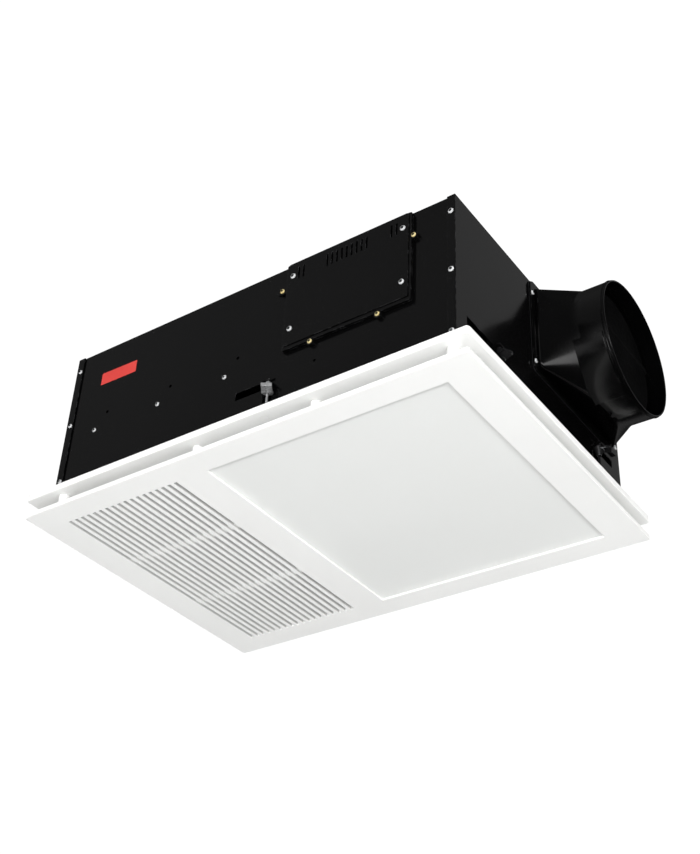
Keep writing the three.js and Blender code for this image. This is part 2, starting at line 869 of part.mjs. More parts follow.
// A rectangular duct over the grille, with feet that rest on the frame at its two ends.
function heaterDuct() {
  const outer = block(ductX0, ductX1, -ductY, ductY, ductBottom, ductTop);
  const hollow = block(
    ductX0 + ductWall,
    ductX1 - ductWall,
    -ductY + ductWall,
    ductY - ductWall,
    ductBottom - throughCut,
    ductTop + throughCut,
  );
  const feet = [-1, 1].map((side) =>
    block(
      grilleMiddle - ductFootLength / 2,
      grilleMiddle + ductFootLength / 2,
      side * (ductY - ductWall / 2),
      side * (frameOpeningY + ductFootLap),
      fit,
      fit + ductWall,
    ),
  );
  return join(cut(outer, hollow), ...feet);
}
add("heater_duct", heaterDuct(), steel);

// The heating element: thin fins between two bars, lying across the duct.
function heatingElement() {
  const y = ductY - ductWall - fit;
  const x0 = ductX0 + ductWall + fit;
  const x1 = ductX1 - ductWall - fit;
  const top = elementBottom + elementThickness;
  const bars = [x0, (x0 + x1) / 2 - elementBar / 2, x1 - elementBar].map((x) =>
    block(x, x + elementBar, -y, y, elementBottom, top),
  );
  const fins = [];
  for (let i = 0; i < finCount; i += 1) {
    const near = -y + ((i + 0.5) * 2 * y) / finCount - finThickness / 2;
    const low = elementBottom + finSetback;
    const high = top - finSetback;
    fins.push(block(x0 + overlap, x1 - overlap, near, near + finThickness, low, high));
  }
  return join(...bars, ...fins);
}
add("heating_element", heatingElement(), ceramic);

const shroudBottom = ductTop + fit;
const shroudTop = shroudBottom + shroudHeight;
const shroudBore = heaterWheelRadius + shroudClearance;

// An upright cylinder round the heater fan's axis.
function onFan(z0, z1, radius, sides = manySides) {
  return post(grilleMiddle, 0, z0, z1, radius, sides);
}

// The plate over the duct, with the fan's ring standing on it.
const fanShroud = cut(
  join(
    block(ductX0, ductX1, -ductY, ductY, shroudBottom, shroudBottom + shroudPlate),
    onFan(shroudBottom, shroudTop, shroudBore + shroudWall),
  ),
  onFan(shroudBottom - throughCut, shroudTop + throughCut, shroudBore),
);
add("heater_fan_shroud", fanShroud, blackPlastic);

const heaterWheelBottom = shroudBottom + shroudPlate + heaterWheelGap;
const heaterWheelTop = heaterWheelBottom + heaterWheelHeight;
const heaterMotorBottom = heaterWheelTop + heaterMotorGap;
const heaterMotorTop = heaterMotorBottom + heaterMotorHeight;

// An axial fan wheel with tilted blades.
function heaterWheel() {
  const hub = onFan(heaterWheelBottom, heaterWheelTop, heaterHubRadius, someSides);
  const root = heaterHubRadius - heaterBladeRoot;
  const length = heaterWheelRadius - root;
  const blade = new THREE.BoxGeometry(length, heaterBladeChord, heaterBladeThickness);
  blade.rotateX(THREE.MathUtils.degToRad(heaterBladeTilt));
  blade.translate(root + length / 2, 0, heaterWheelBottom + heaterWheelHeight / 2);
  const blades = [];
  for (let i = 0; i < heaterBlades; i += 1) {
    const turned = solid(blade).rotate([0, 0, (i * 360) / heaterBlades]);
    blades.push(turned.translate([grilleMiddle, 0, 0]));
  }
  const tipLimit = onFan(heaterWheelBottom, heaterWheelTop, heaterWheelRadius);
  const boreRadius = shaftRadius + shaftClearance;
  const low = heaterWheelBottom - throughCut;
  const bore = onFan(low, heaterWheelTop + throughCut, boreRadius, someSides);
  return cut(join(hub, ...blades).intersect(tipLimit), bore);
}
add("heater_fan_wheel", heaterWheel(), blackPlastic);

const heaterShaftTop = heaterMotorTop - shaftInMotor;
const heaterMotor = cut(
  onFan(heaterMotorBottom, heaterMotorTop, heaterMotorRadius),
  onFan(
    heaterMotorBottom - throughCut,
    heaterShaftTop + shaftEndGap,
    shaftRadius + shaftClearance,
    someSides,
  ),
);
add("heater_fan_motor", heaterMotor, steel);
add("heater_fan_shaft", onFan(heaterWheelBottom, heaterShaftTop, shaftRadius, someSides), zinc);

// A folded strap that hangs the motor from the roof.
function motorBracket() {
  const legX = heaterMotorRadius + bracketBeside;
  const bottom = heaterMotorTop + fit;
  const top = housingHeight - sheet - fit;
  const half = bracketWidth / 2;
  const seatTop = bottom + bracketSheet;
  const seat = block(grilleMiddle - legX, grilleMiddle + legX, -half, half, bottom, seatTop);
  const legs = [-1, 1].map((side) => {
    const outside = grilleMiddle + side * legX;
    return block(outside, outside - side * bracketSheet, -half, half, bottom, top);
  });
  const feet = [-1, 1].map((side) => {
    const inside = grilleMiddle + side * (legX - bracketSheet);
    return block(inside, inside + side * bracketFoot, -half, half, top - bracketSheet, top);
  });
  return join(seat, ...legs, ...feet);
}
add("heater_motor_bracket", motorBracket(), zinc);

// The overheat cutout on the shroud plate: a small disc with two ears and two flat terminals.
function thermalCutout() {
  const x = ductX1 - cutoutFromEnd;
  const y = ductY - cutoutFromSide;
  const bottom = shroudBottom + shroudPlate + fit;
  const earY = cutoutEarWidth / 2;
  const bladeY = cutoutBladeWidth / 2;
  const bladeTop = bottom + cutoutHeight + cutoutBladeRise;
  const terminals = [-1, 1].map((side) =>
    block(
      x + side * cutoutBladeNear,
      x + side * cutoutBladeFar,
      y - bladeY,
      y + bladeY,
      bottom,
      bladeTop,
    ),
  );
  return join(
    post(x, y, bottom, bottom + cutoutHeight, cutoutRadius),
    block(x - cutoutEar, x + cutoutEar, y - earY, y + earY, bottom, bottom + cutoutEarSheet),
    ...terminals,
  );
}
add("thermal_cutout", thermalCutout(), ceramic);

// ---------------------------------------------------------------- Wiring box

const boxPlateInner = -halfWidth - fit;
const boxBack = -halfWidth + boxDepth;

// A plate with ears outside the wall and an open box behind it.
function wiringBox() {
  const plate = upright(
    roundedOutline(boxPlateLeft, boxPlateRight, boxPlateBottom, boxPlateTop, boxPlateCorner),
    boxFace,
    boxPlateInner,
  );
  const earZ = boxPlateTop - earBelowTop;
  const footZ = boxPlateBottom + footEarRise;
  const ears = [
    [boxPlateLeft - earOut, earZ],
    [boxPlateRight - earIn, earZ],
    [boxPlateLeft + footEarLeft, footZ],
    [boxPlateRight - footEarRight, footZ],
  ].map(([x, z]) => rod("y", boxFace, boxPlateInner, x, z, earRadius));
  const neck = block(
    boxPlateLeft - earOut,
    boxPlateLeft + overlap,
    boxFace,
    boxPlateInner,
    earZ - earRadius,
    earZ + earRadius,
  );
  const body = block(
    boxOpeningLeft + fit,
    boxOpeningRight - fit,
    boxFace,
    boxBack,
    boxOpeningBottom + fit,
    boxOpeningTop - fit,
  );
  const hollow = block(
    boxOpeningLeft + fit + sheet,
    boxOpeningRight - fit - sheet,
    boxFace - throughCut,
    boxBack - sheet,
    boxOpeningBottom + fit + sheet,
    boxOpeningTop - fit - sheet,
  );
  const low = boxOpeningTop - fit - sheet - throughCut;
  const cableHole = post(grommetX, grommetY, low, boxOpeningTop + throughCut, grommetBore);
  return cut(join(plate, ...ears, neck, body), hollow, cableHole);
}
add("wiring_box", wiringBox(), blackSteel);

// A shallow pan that closes the box, with narrow vents along its top.
function wiringLid() {
  const back = boxFace - fit;
  const front = back - lidRise;
  const left = boxPlateLeft + lidMargin.left;
  const right = boxPlateRight - lidMargin.right;
  const bottom = boxPlateBottom + lidMargin.below;
  const top = boxPlateTop - lidMargin.above;
  const outline = roundedOutline(left, right, bottom, top, boxPlateCorner);
  const hollow = block(
    left + sheet,
    right - sheet,
    front + sheet,
    back + throughCut,
    bottom + sheet,
    top - sheet,
  );
  const ventTop = top - ventFromTop;
  const sideRun = (sideVents - 1) * ventPitch;
  const rows = [
    [left + ventFromSide, sideVents],
    [(left + right - (middleVents - 1) * ventPitch) / 2, middleVents],
    [right - ventFromSide - sideRun, sideVents],
  ];
  const vents = [];
  for (const [start, count] of rows) {
    for (let i = 0; i < count; i += 1) {
      const x0 = start + i * ventPitch - ventWidth / 2;
      const x1 = x0 + ventWidth;
      vents.push(block(x0, x1, front - throughCut, back + throughCut, ventTop - ventLength, ventTop));
    }
  }
  return cut(upright(outline, front, back), hollow, ...vents);
}
add("wiring_box_lid", wiringLid(), blackSteel);

// The supply terminals: a moulded block with a screw bore for each way.
function terminalBlock() {
  const x0 = grommetX - terminalLength / 2;
  const y1 = boxBack - sheet - fit;
  const y0 = y1 - terminalDepth;
  const z0 = boxOpeningBottom + terminalRise;
  const middleZ = z0 + terminalHeight / 2;
  const body = block(x0, x0 + terminalLength, y0, y1, z0, z0 + terminalHeight);
  const bores = [];
  for (let i = 0; i < terminalWays; i += 1) {
    const x = x0 + ((i + 0.5) * terminalLength) / terminalWays;
    bores.push(rod("y", y0 - throughCut, y0 + terminalBoreDepth, x, middleZ, terminalBore, fewSides));
  }
  return cut(body, ...bores);
}
add("terminal_block", terminalBlock(), circuitWhite);

// A rubber grommet in the roof, over the wiring box.
const underRoof = housingHeight - sheet - fit;
const overRoof = housingHeight + fit;
const grommetProfile = [
  [grommetBore, underRoof - grommetLipHeight],
  [grommetRadius + grommetLip, underRoof - grommetLipHeight],
  [grommetRadius + grommetLip, underRoof],
  [grommetRadius - fit, underRoof],
  [grommetRadius - fit, overRoof],
  [grommetRadius + grommetLip, overRoof],
  [grommetRadius + grommetLip, overRoof + grommetLipHeight],
  [grommetBore, overRoof + grommetLipHeight],
  [grommetBore, underRoof - grommetLipHeight],
];
const grommet = new THREE.LatheGeometry(
  grommetProfile.map(([r, z]) => new THREE.Vector2(r, z)),
  someSides,
);
grommet.rotateX(Math.PI / 2);
grommet.translate(grommetX, grommetY, 0);
add("cable_grommet", solid(grommet), rubber);

// ---------------------------------------------------------------- Duct adaptor

const gasketStart = endFace + fit;
const flangeStart = endFace + 2 * fit + gasketThickness;
const flangeEnd = flangeStart + flangeThickness;

function aroundAdaptor(halfY, halfZ, radius) {
  return roundedOutline(adaptorY - halfY, adaptorY + halfY, adaptorZ - halfZ, adaptorZ + halfZ, radius);
}

const gasketEnd = gasketStart + gasketThickness;
const flangeOutline = aroundAdaptor(flangeHalfWidth, flangeHalfHeight, flangeCorner);
const throatOutline = aroundAdaptor(throatHalfWidth, throatHalfHeight, throatCorner);
const gasketRing = cut(
  sideways(flangeOutline, gasketStart, gasketEnd),
  sideways(throatOutline, gasketStart - throughCut, gasketEnd + throughCut),
);
add("duct_gasket", gasketRing, foam);

// The angles of a section's points, with one on each corner of the throat.
function sectionAngles() {
  const corner = Math.atan2(throatHalfHeight, throatHalfWidth);
  const stops = [0, corner, Math.PI / 2, Math.PI - corner, Math.PI];
  const half = [];
  for (let i = 0; i < stops.length - 1; i += 1) {
    for (let k = 0; k < pointsPerStretch; k += 1) {
      half.push(THREE.MathUtils.lerp(stops[i], stops[i + 1], k / pointsPerStretch));
    }
  }
  return [...half, ...half.map((angle) => angle + Math.PI)];
}

// How far the throat's rectangle reaches in a direction.
function throatReach(angle, wall) {
  const toSide = (throatHalfWidth + wall) / Math.abs(Math.cos(angle));
  const toTop = (throatHalfHeight + wall) / Math.abs(Math.sin(angle));
  return Math.min(toSide, toTop);
}

// A skin through sections at growing x, each a share of the way from the rectangle to the circle.
function squareToRound(sections, wall, radius) {
  const angles = sectionAngles();
  const count = angles.length;
  const points = [];
  for (const [x, share] of sections) {
    for (const angle of angles) {
      const reach = THREE.MathUtils.lerp(throatReach(angle, wall), radius, share);
      points.push(x, adaptorY + reach * Math.cos(angle), adaptorZ + reach * Math.sin(angle));
    }
  }
  const faces = [];
  for (let s = 0; s < sections.length - 1; s += 1) {
    for (let i = 0; i < count; i += 1) {
      const a = s * count + i;
      const b = s * count + ((i + 1) % count);
      faces.push(a, b, b + count, a, b + count, a + count);
    }
  }
  const last = (sections.length - 1) * count;
  for (let i = 1; i < count - 1; i += 1) {
    faces.push(0, i + 1, i);
    faces.push(last, last + i, last + i + 1);
  }
  const geometry = new THREE.BufferGeometry();
  geometry.setAttribute("position", new THREE.Float32BufferAttribute(points, 3));
  geometry.setIndex(faces);
  return solid(geometry);
}

// The funnel's sections: straight lines from the throat to the collar.
function funnelSections(from, to) {
  const sections = [[from, 0]];
  for (let i = 0; i <= funnelSteps; i += 1) {
    const share = i / funnelSteps;
    sections.push([THREE.MathUtils.lerp(flangeEnd, collarStart, share), share]);
  }
  sections.push([to, 1]);
  return sections;
}

// A moulded adaptor: a flange on the wall, a funnel and a round collar with a bead for the duct.
function ductAdaptor() {
  const flange = sideways(flangeOutline, flangeStart, flangeEnd);
  const outerSections = funnelSections(flangeStart + overlap, collarEnd);
  const innerSections = funnelSections(flangeStart - throughCut, collarEnd + throughCut);
  const outside = squareToRound(outerSections, adaptorWall, collarRadius);
  const inside = squareToRound(innerSections, 0, collarRadius - adaptorWall);
  const beadSections = [-1, 1].map((side) => [collarEnd - beadFromRim + (side * beadWidth) / 2, 1]);
  const bead = squareToRound(beadSections, 0, collarRadius + beadRise);
  return cut(join(flange, outside, bead), inside);
}
add("duct_adaptor", ductAdaptor(), blackPlastic);

// The backdraught flap: a thin disc that hangs shut in the collar, on a level axle above its middle.
const flapX = collarStart + flapPlace;
const flapHalf = flapThickness / 2;
const flapRadius = collarRadius - adaptorWall - flapClearance; // swings clear of the collar
const hingeZ = adaptorZ + flapHingeRise;
const boreInside = collarRadius - adaptorWall;
const sleeveHalf = Math.sqrt(flapRadius ** 2 - (flapHingeRise + sleeveRadius) ** 2) - fit;
const axleHalf = Math.sqrt(boreInside ** 2 - (flapHingeRise + axleRadius) ** 2) - fit;

const flap = cut(
  join(
    rod("x", flapX - flapHalf, flapX + flapHalf, adaptorY, adaptorZ, flapRadius, manySides),
    rod("y", adaptorY - sleeveHalf, adaptorY + sleeveHalf, flapX, hingeZ, sleeveRadius),
  ),
  rod("y", adaptorY - axleHalf, adaptorY + axleHalf, flapX, hingeZ, axleRadius + axleClearance),
);
add("damper_flap", flap, blackPlastic);
const axle = rod("y", adaptorY - axleHalf, adaptorY + axleHalf, flapX, hingeZ, axleRadius);
add("damper_axle", axle, zinc);

// ---------------------------------------------------------------- Ceiling clamps

for (const clamp of clamps) {
  const tabBottom = clamp.height - slotHeight / 2 + fit;
  const tabTop = tabBottom + clampTab;
  const legOuter = -sheet - fit;
  const legInner = legOuter - clampTab;
  const legTop = clamp.height + slotHeight / 2 + clampLegRise;
  const armSide = clampTabArmSide;
  const boreRadius = clampScrewRadius + screwClearance;

  // The bracket: a leg inside the wall, and a tab that comes out through the slot over the dog.
  const bracket = cut(
    join(
      armBlock(clamp, legInner, clampTabReach, -clampTabEndSide, armSide, tabBottom, tabTop),
      armBlock(clamp, legInner, legOuter, -clampTabEndSide, armSide, tabBottom, legTop),
    ),
    post(clampOut, 0, tabBottom - throughCut, tabTop + throughCut, boreRadius, fewSides),
  );
  add(`clamp_bracket_${clamp.name}`, onWall(bracket, clamp), blackSteel);

  // The long screw, driven from below the frame.
  const headBottom = frameBottom + fit;
  const screw = join(
    post(clampOut, 0, headBottom, headBottom + clampHeadHeight, clampScrewHead, fewSides),
    post(clampOut, 0, headBottom, tabTop + clampScrewTip, clampScrewRadius, fewSides),
  );
  add(`clamp_screw_${clamp.name}`, onWall(screw, clamp), zinc);

  // The dog: a plate with a low turned-up lip, between a boss and a hub that narrows downwards.
  const bossTop = tabBottom - dogBelowTab;
  const dogTop = bossTop - dogBoss;
  const dogBottom = dogTop - dogPlate;
  const hubBottom = dogBottom - dogHubHeight;
  const halfDog = dogWidth / 2;
  const dog = cut(
    join(
      block(0, dogReach, -halfDog, halfDog, dogBottom, dogTop),
      block(dogReach - dogLipSheet, dogReach, -halfDog, halfDog, dogBottom, dogTop + dogLip),
      post(0, 0, hubBottom, dogTop, dogHubBottom, someSides, dogHubTop),
      post(0, 0, dogTop - overlap, bossTop, dogBossRadius),
    ),
    post(0, 0, hubBottom - throughCut, bossTop + throughCut, boreRadius, fewSides),
  );
  const aimed = dog.rotate([0, 0, clamp.aim]).translate([clampOut, 0, 0]);
  add(`clamp_dog_${clamp.name}`, onWall(aimed, clamp), zinc);
}

// ---------------------------------------------------------------- Electrical pieces

// The lamp's driver, on the rear wall, with a foot past each end.
function lampDriver() {
  const end = driverPlace + driverLength;
  const top = housingHeight - driverFromTop;
  const bottom = top - driverHeight;
  return join(
    block(driverPlace, end, wallInside - driverDepth, wallInside, bottom, top),
    block(
      driverPlace - driverEar,
      end + driverEar,
      wallInside - driverEarSheet,
      wallInside,
      bottom + driverEarInset,
      top - driverEarInset,
    ),
  );
}
add("lamp_driver", lampDriver(), greyPlastic);

// The motor's run capacitor, lying in a clip on the rear wall.
function runCapacitor() {
  const start = capacitorPlace - capacitorLength;
  const y = wallInside - capacitorClip - capacitorRadius;
  const z = housingHeight - capacitorFromTop;
  const clipZ = z - clipHeight / 2;
  return join(
    rod("x", start, capacitorPlace, y, z, capacitorRadius),
    block(start + clipInset, capacitorPlace - clipInset, y, wallInside, clipZ, clipZ + clipHeight),
  );
}
add("run_capacitor", runCapacitor(), greyPlastic);

export default fanHeater;
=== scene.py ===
from math import atan2, cos, pi, radians, sin

import bmesh
import bpy
from mathutils import Matrix, Vector


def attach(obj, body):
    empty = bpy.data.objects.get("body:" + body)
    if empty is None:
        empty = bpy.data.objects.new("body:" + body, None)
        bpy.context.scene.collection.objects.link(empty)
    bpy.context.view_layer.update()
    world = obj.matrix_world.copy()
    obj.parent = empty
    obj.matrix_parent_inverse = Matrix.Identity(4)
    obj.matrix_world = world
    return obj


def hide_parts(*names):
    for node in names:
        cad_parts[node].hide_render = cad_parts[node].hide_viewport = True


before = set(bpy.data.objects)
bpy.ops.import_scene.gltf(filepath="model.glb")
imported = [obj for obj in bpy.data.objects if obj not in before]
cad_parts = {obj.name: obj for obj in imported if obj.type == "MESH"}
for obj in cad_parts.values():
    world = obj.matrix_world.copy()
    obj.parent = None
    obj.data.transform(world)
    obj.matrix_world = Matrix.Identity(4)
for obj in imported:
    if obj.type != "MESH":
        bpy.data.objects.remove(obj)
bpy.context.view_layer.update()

scene = bpy.context.scene
mm = 0.001

# ---------------------------------------------------------------- Mounting frame
# A flat white ring that lies against the ceiling's underside, with the steel box on its inner
# edge. It is injection moulded in ABS with a fine satin grain, and has countersinks for the
# clamps' screws.


def packed_shape(node):
    """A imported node's shape, with its loose triangles merged and its flat faces joined."""
    bm = bmesh.new()
    bm.from_mesh(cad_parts[node].data)
    bmesh.ops.remove_doubles(bm, verts=bm.verts, dist=1e-6)
    bmesh.ops.dissolve_limit(bm, angle_limit=radians(1), verts=bm.verts, edges=bm.edges)
    return bm


def round_edges(bm, width, segments=2, corner=35):
    """Round the edges of a shape and mark the rounded faces, where paint and polish rub off."""
    wear_and_painted_shade = bm.faces.layers.float.new("wear_and_painted_shade")
    edges = [e for e in bm.edges if e.is_manifold and e.calc_face_angle() > radians(corner)]
    made = bmesh.ops.bevel(bm, geom=edges, offset=width * mm, offset_type="OFFSET",
                           segments=segments, profile=0.5, affect="EDGES", clamp_overlap=False,
                           material=-1)
    for face in made["faces"]:
        face[wear_and_painted_shade] = 1.0


def fitted(bm, name, finish, body, slot, *nodes, smooth=40):
    """Make a shape a piece: its finish, the body it rides on and the nodes it stands for."""
    mesh = bpy.data.meshes.new(name)
    bm.to_mesh(mesh)
    bm.free()
    mesh.shade_smooth()
    mesh.set_sharp_from_angle(angle=radians(smooth))
    piece = bpy.data.objects.new(name, mesh)
    scene.collection.objects.link(piece)
    mesh.materials.append(finish)
    even = piece.modifiers.new("even_shading", "WEIGHTED_NORMAL")
    even.keep_sharp = True
    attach(piece, body)
    if nodes:
        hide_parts(*nodes)


def dressed(node, name, finish, body, slot, width, **rounding):
    """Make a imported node's own shape, with its edges rounded, the piece that stands for it."""
    bm = packed_shape(node)
    round_edges(bm, width, **rounding)
    fitted(bm, name, finish, body, slot, node)


def surface(name, dark, light, roughness, metallic=0.0, specular=0.5, cloud=9, grain=900,
            grain_depth=0.02, stretch=(1, 1, 1), wear_and_painted_shade=None, wear_and_shade_share=0.5):
    """A finish with uneven colour and gloss, a fine raised grain, and rubbed edges; in the cover's
    slots the same mark is painted shade.
    """
    material = bpy.data.materials.new(name)
    material.use_nodes = True
    nodes, links = material.node_tree.nodes, material.node_tree.links
    shader = nodes["Principled BSDF"]
    shader.inputs["Metallic"].default_value = metallic
    shader.inputs["Specular IOR Level"].default_value = specular
    place = nodes.new("ShaderNodeTexCoord")
    mapping = nodes.new("ShaderNodeMapping")
    mapping.inputs["Scale"].default_value = stretch
    links.new(place.outputs["Object"], mapping.inputs["Vector"])
    noise_low, noise_high = 0.3, 0.7

    def noise(scale, detail, source=mapping.outputs["Vector"]):
        texture = nodes.new("ShaderNodeTexNoise")
        texture.inputs["Scale"].default_value = scale
        texture.inputs["Detail"].default_value = detail
        links.new(source, texture.inputs["Vector"])
        return texture.outputs["Fac"]

    def spread(value, low, high, to_low=0.0, to_high=1.0):
        ramp = nodes.new("ShaderNodeMapRange")
        for socket, number in zip(("From Min", "From Max", "To Min", "To Max"),
                                  (low, high, to_low, to_high)):
            ramp.inputs[socket].default_value = number
        links.new(value, ramp.inputs["Value"])
        return ramp.outputs["Result"]

    tones = nodes.new("ShaderNodeValToRGB")
    first, last = tones.color_ramp.elements
    first.position, first.color = noise_low, (*dark, 1)
    last.position, last.color = noise_high, (*light, 1)
    links.new(noise(cloud, 4), tones.inputs["Fac"])
    colour = tones.outputs["Color"]
    # Marked faces take a second colour in patches: edge wear, and painted shade on the cover's slot
    # walls.
    if wear_and_painted_shade:
        patch_scale, patch_edge = 160, 0.12
        patch_start = 0.62 - 0.24 * wear_and_shade_share
        patches = spread(noise(patch_scale, 6, place.outputs["Object"]),
                         patch_start, patch_start + patch_edge)
        edges = nodes.new("ShaderNodeAttribute")
        edges.attribute_name = "wear_and_painted_shade"
        wear_and_shade_mask = nodes.new("ShaderNodeMath")
        wear_and_shade_mask.operation = "MULTIPLY"
        links.new(edges.outputs["Fac"], wear_and_shade_mask.inputs[0])
        links.new(patches, wear_and_shade_mask.inputs[1])
        mix = nodes.new("ShaderNodeMix")
        mix.data_type = "RGBA"
        mix.inputs["B"].default_value = (*wear_and_painted_shade, 1)
        links.new(wear_and_shade_mask.outputs["Value"], mix.inputs["Factor"])
        links.new(colour, mix.inputs["A"])
        colour = mix.outputs["Result"]
    links.new(colour, shader.inputs["Base Color"])
    unevenness = 0.15
    gloss = spread(noise(cloud * 5, 5), noise_low, noise_high, roughness * (1 - unevenness),
                   min(1.0, roughness * (1 + unevenness)))
    links.new(gloss, shader.inputs["Roughness"])
    bump = nodes.new("ShaderNodeBump")
    bump.inputs["Strength"].default_value = 0.5
    bump.inputs["Distance"].default_value = grain_depth * mm
    links.new(noise(grain, 3), bump.inputs["Height"])
    links.new(bump.outputs["Normal"], shader.inputs["Normal"])
    return material


satin_white = surface("frame_satin_white", (0.84, 0.842, 0.828), (0.88, 0.882, 0.868), 0.48,
                      specular=0.35, grain=1400)
dressed("mounting_frame", "mounting_frame_ring", satin_white, "housing", "white_plastic", 0.5)

# Thin white discs pressed into the countersinks, once the clamps are tight, hide the screws' heads.
clamp_places = {"front": (41, -183), "rear": (-41, 183), "duct_end_near": (265.5, -109),
                "duct_end_far": (265.5, 109), "heater_end_near": (-265.5, -109),
                "heater_end_far": (-265.5, 109)}
disc_z, disc_thickness, disc_radius_above, disc_radius_below = -7.86, 0.24, 4.15, 3.9
for place, (x, y) in clamp_places.items():
    bm = bmesh.new()
    bmesh.ops.create_cone(bm, cap_ends=True, segments=32, radius1=disc_radius_below * mm,
                          radius2=disc_radius_above * mm, depth=disc_thickness * mm,
                          matrix=Matrix.Translation((x * mm, y * mm, disc_z * mm)))
    round_edges(bm, 0.06)
    fitted(bm, "clamp_screw_cover_" + place, satin_white, "housing", "white_plastic")

# ---------------------------------------------------------------- Front cover
# One white ABS moulding with the same satin grain: a shallow tray with the square light opening,
# eighteen slots with two cross ribs behind them, and eight posts. Four split nylon pins on the
# corner posts hold it to the frame.


def gathered(bm, shape):
    """Add a finished shape to a group that is one piece."""
    mesh = bpy.data.meshes.new("gathered")
    shape.to_mesh(mesh)
    shape.free()
    bm.from_mesh(mesh)
    bpy.data.meshes.remove(mesh)


def raised_face(bm, face, rise, size):
    """Extrude a face along +Z and scale it about its middle."""
    made = bmesh.ops.extrude_face_region(bm, geom=[face])["geom"]
    face = next(item for item in made if isinstance(item, bmesh.types.BMFace))
    middle = face.calc_center_median()
    bmesh.ops.translate(bm, verts=face.verts, vec=(0, 0, rise * mm))
    bmesh.ops.scale(bm, verts=face.verts, vec=(size, size, 1),
                    space=Matrix.Translation(-Vector((middle.x, middle.y, 0))))
    return face


# The cover's second colour, a mid grey on the slots' side walls, is painted shade.
cover_white = surface("cover_satin_white", (0.84, 0.842, 0.828), (0.87, 0.872, 0.858), 0.44,
                      specular=0.35, grain=1400, wear_and_painted_shade=(0.6, 0.6, 0.59), wear_and_shade_share=2.0)
bm = packed_shape("front_cover")

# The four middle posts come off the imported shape. Those of the photograph take their place below.
packed_post_x, packed_post_reach, packed_posts_above = (-40, 116), 6.3, -20
middle_posts = []
for face in bm.faces:
    spot = face.calc_center_median()
    away = min(abs(spot.x - x * mm) for x in packed_post_x)
    if spot.z > packed_posts_above * mm and away < packed_post_reach * mm:
        middle_posts.append(face)
bmesh.ops.delete(bm, geom=middle_posts, context="FACES")
bmesh.ops.holes_fill(bm, edges=[e for e in bm.edges if e.is_boundary], sides=0)
round_edges(bm, 0.3)

# Only the side walls of the slots are marked, and the cover's mid grey there is painted shade.
slots_left, slots_right, slots_bottom, slots_top = -262, -60, -29.2, -24.2
wear_and_painted_shade = bm.faces.layers.float["wear_and_painted_shade"]
for face in bm.faces:
    spot = face.calc_center_median() / mm
    in_slot = slots_left < spot.x < slots_right and slots_bottom < spot.z < slots_top
    face[wear_and_painted_shade] = float(in_slot and abs(face.normal.x) > 0.9)

plate_top, post_top, post_radius = -26.6, -8.3, 6.6
post_x, post_y = (-49.3, 100.1), 178.2
foot, tip = ((0.35, 0.9), (0.6, 0.93), (1.2, 0.965)), (0.3, 0.94)
shaft = (post_top - plate_top - sum(rise for rise, size in (*foot, tip)), 0.985)
for y in (-post_y, post_y):
    for x in post_x:
        post = bmesh.new()
        bmesh.ops.create_circle(post, cap_ends=True, segments=32, radius=post_radius * mm)
        face = post.faces[:][0]
        for rise, size in (*foot, shaft, tip):
            face = raised_face(post, face, rise, size)
        bmesh.ops.recalc_face_normals(post, faces=post.faces)
        bmesh.ops.translate(post, verts=post.verts, vec=(x * mm, y * mm, plate_top * mm))
        gathered(bm, post)
fitted(bm, "front_cover_moulding", cover_white, "cover", "white_plastic", "front_cover")

# The pins are shortened to end inside the frame, because the photograph shows none above it.
natural_nylon = surface("natural_nylon", (0.74, 0.73, 0.68), (0.82, 0.81, 0.77), 0.4, grain=500,
                        cloud=60, wear_and_painted_shade=(0.9, 0.9, 0.88))
frame_underside, pin_reach = -8 * mm, 7.6 * mm
for number in "1234":
    node = "cover_snap_pin_" + number
    bm = packed_shape(node)
    packed_reach = max(vert.co.z for vert in bm.verts) - frame_underside
    for vert in bm.verts:
        if vert.co.z > frame_underside:
            vert.co.z = (frame_underside
                         + (vert.co.z - frame_underside) * pin_reach / packed_reach)
    round_edges(bm, 0.3)
    fitted(bm, "split_pin_" + number, natural_nylon, "cover", "nylon", node)

# ---------------------------------------------------------------- Light panel
# A sheet of frosted opal acrylic lies on the cover inside the opening, under an aluminium tray.
# The lamp board with its rows of chips hangs below the tray's roof, held by four screws.

opal = surface("frosted_opal_sheet", (0.745, 0.755, 0.74), (0.77, 0.78, 0.765), 0.55,
               specular=0.3, cloud=3, grain=2600, grain_depth=0.01)
dressed("light_diffuser", "light_diffuser_sheet", opal, "cover", "opal_plastic", 0.3)

mill_aluminium = surface("mill_aluminium", (0.62, 0.63, 0.65), (0.72, 0.73, 0.75), 0.38,
                         metallic=0.95, cloud=25, grain=500, grain_depth=0.01,
                         stretch=(1, 8, 8), wear_and_painted_shade=(0.85, 0.86, 0.87))
dressed("light_tray", "light_tray_folding", mill_aluminium, "cover", "aluminium", 0.5)

solder_mask = surface("white_solder_mask", (0.76, 0.77, 0.75), (0.82, 0.83, 0.81), 0.3, cloud=40,
                      grain=700, grain_depth=0.01)
dressed("lamp_board", "lamp_board_and_chips", solder_mask, "cover", "circuit_white", 0.15)

# ---------------------------------------------------------------- Housing
# Folded steel sheet 1.5 mm thick in satin black powder coat. The end walls have strips folded
# round onto the long walls. Small zinc screws hold the walls, and beside each lower screw of a
# long wall is a punched hole.

powder_black = surface("housing_powder_coat", (0.0011, 0.0011, 0.0012), (0.0018, 0.0018, 0.0019),
                       0.15, specular=0.42, grain=1500, grain_depth=0.012, cloud=5,
                       wear_and_painted_shade=(0.02, 0.02, 0.021), wear_and_shade_share=0.6)
for node in ("housing_front_wall", "housing_rear_wall", "housing_duct_end_wall",
             "housing_heater_end_wall", "housing_roof"):
    dressed(node, node + "_sheet", powder_black, "housing", "black_steel", 0.4)


def turned(bm, place, out):
    """Stand a shape made round +Z at a place, facing out."""
    facing = Vector(out).normalized().to_track_quat("Z", "Y").to_matrix().to_4x4()
    stand = Matrix.Translation(Vector(place) * mm) @ facing
    bmesh.ops.transform(bm, verts=bm.verts, matrix=stand)


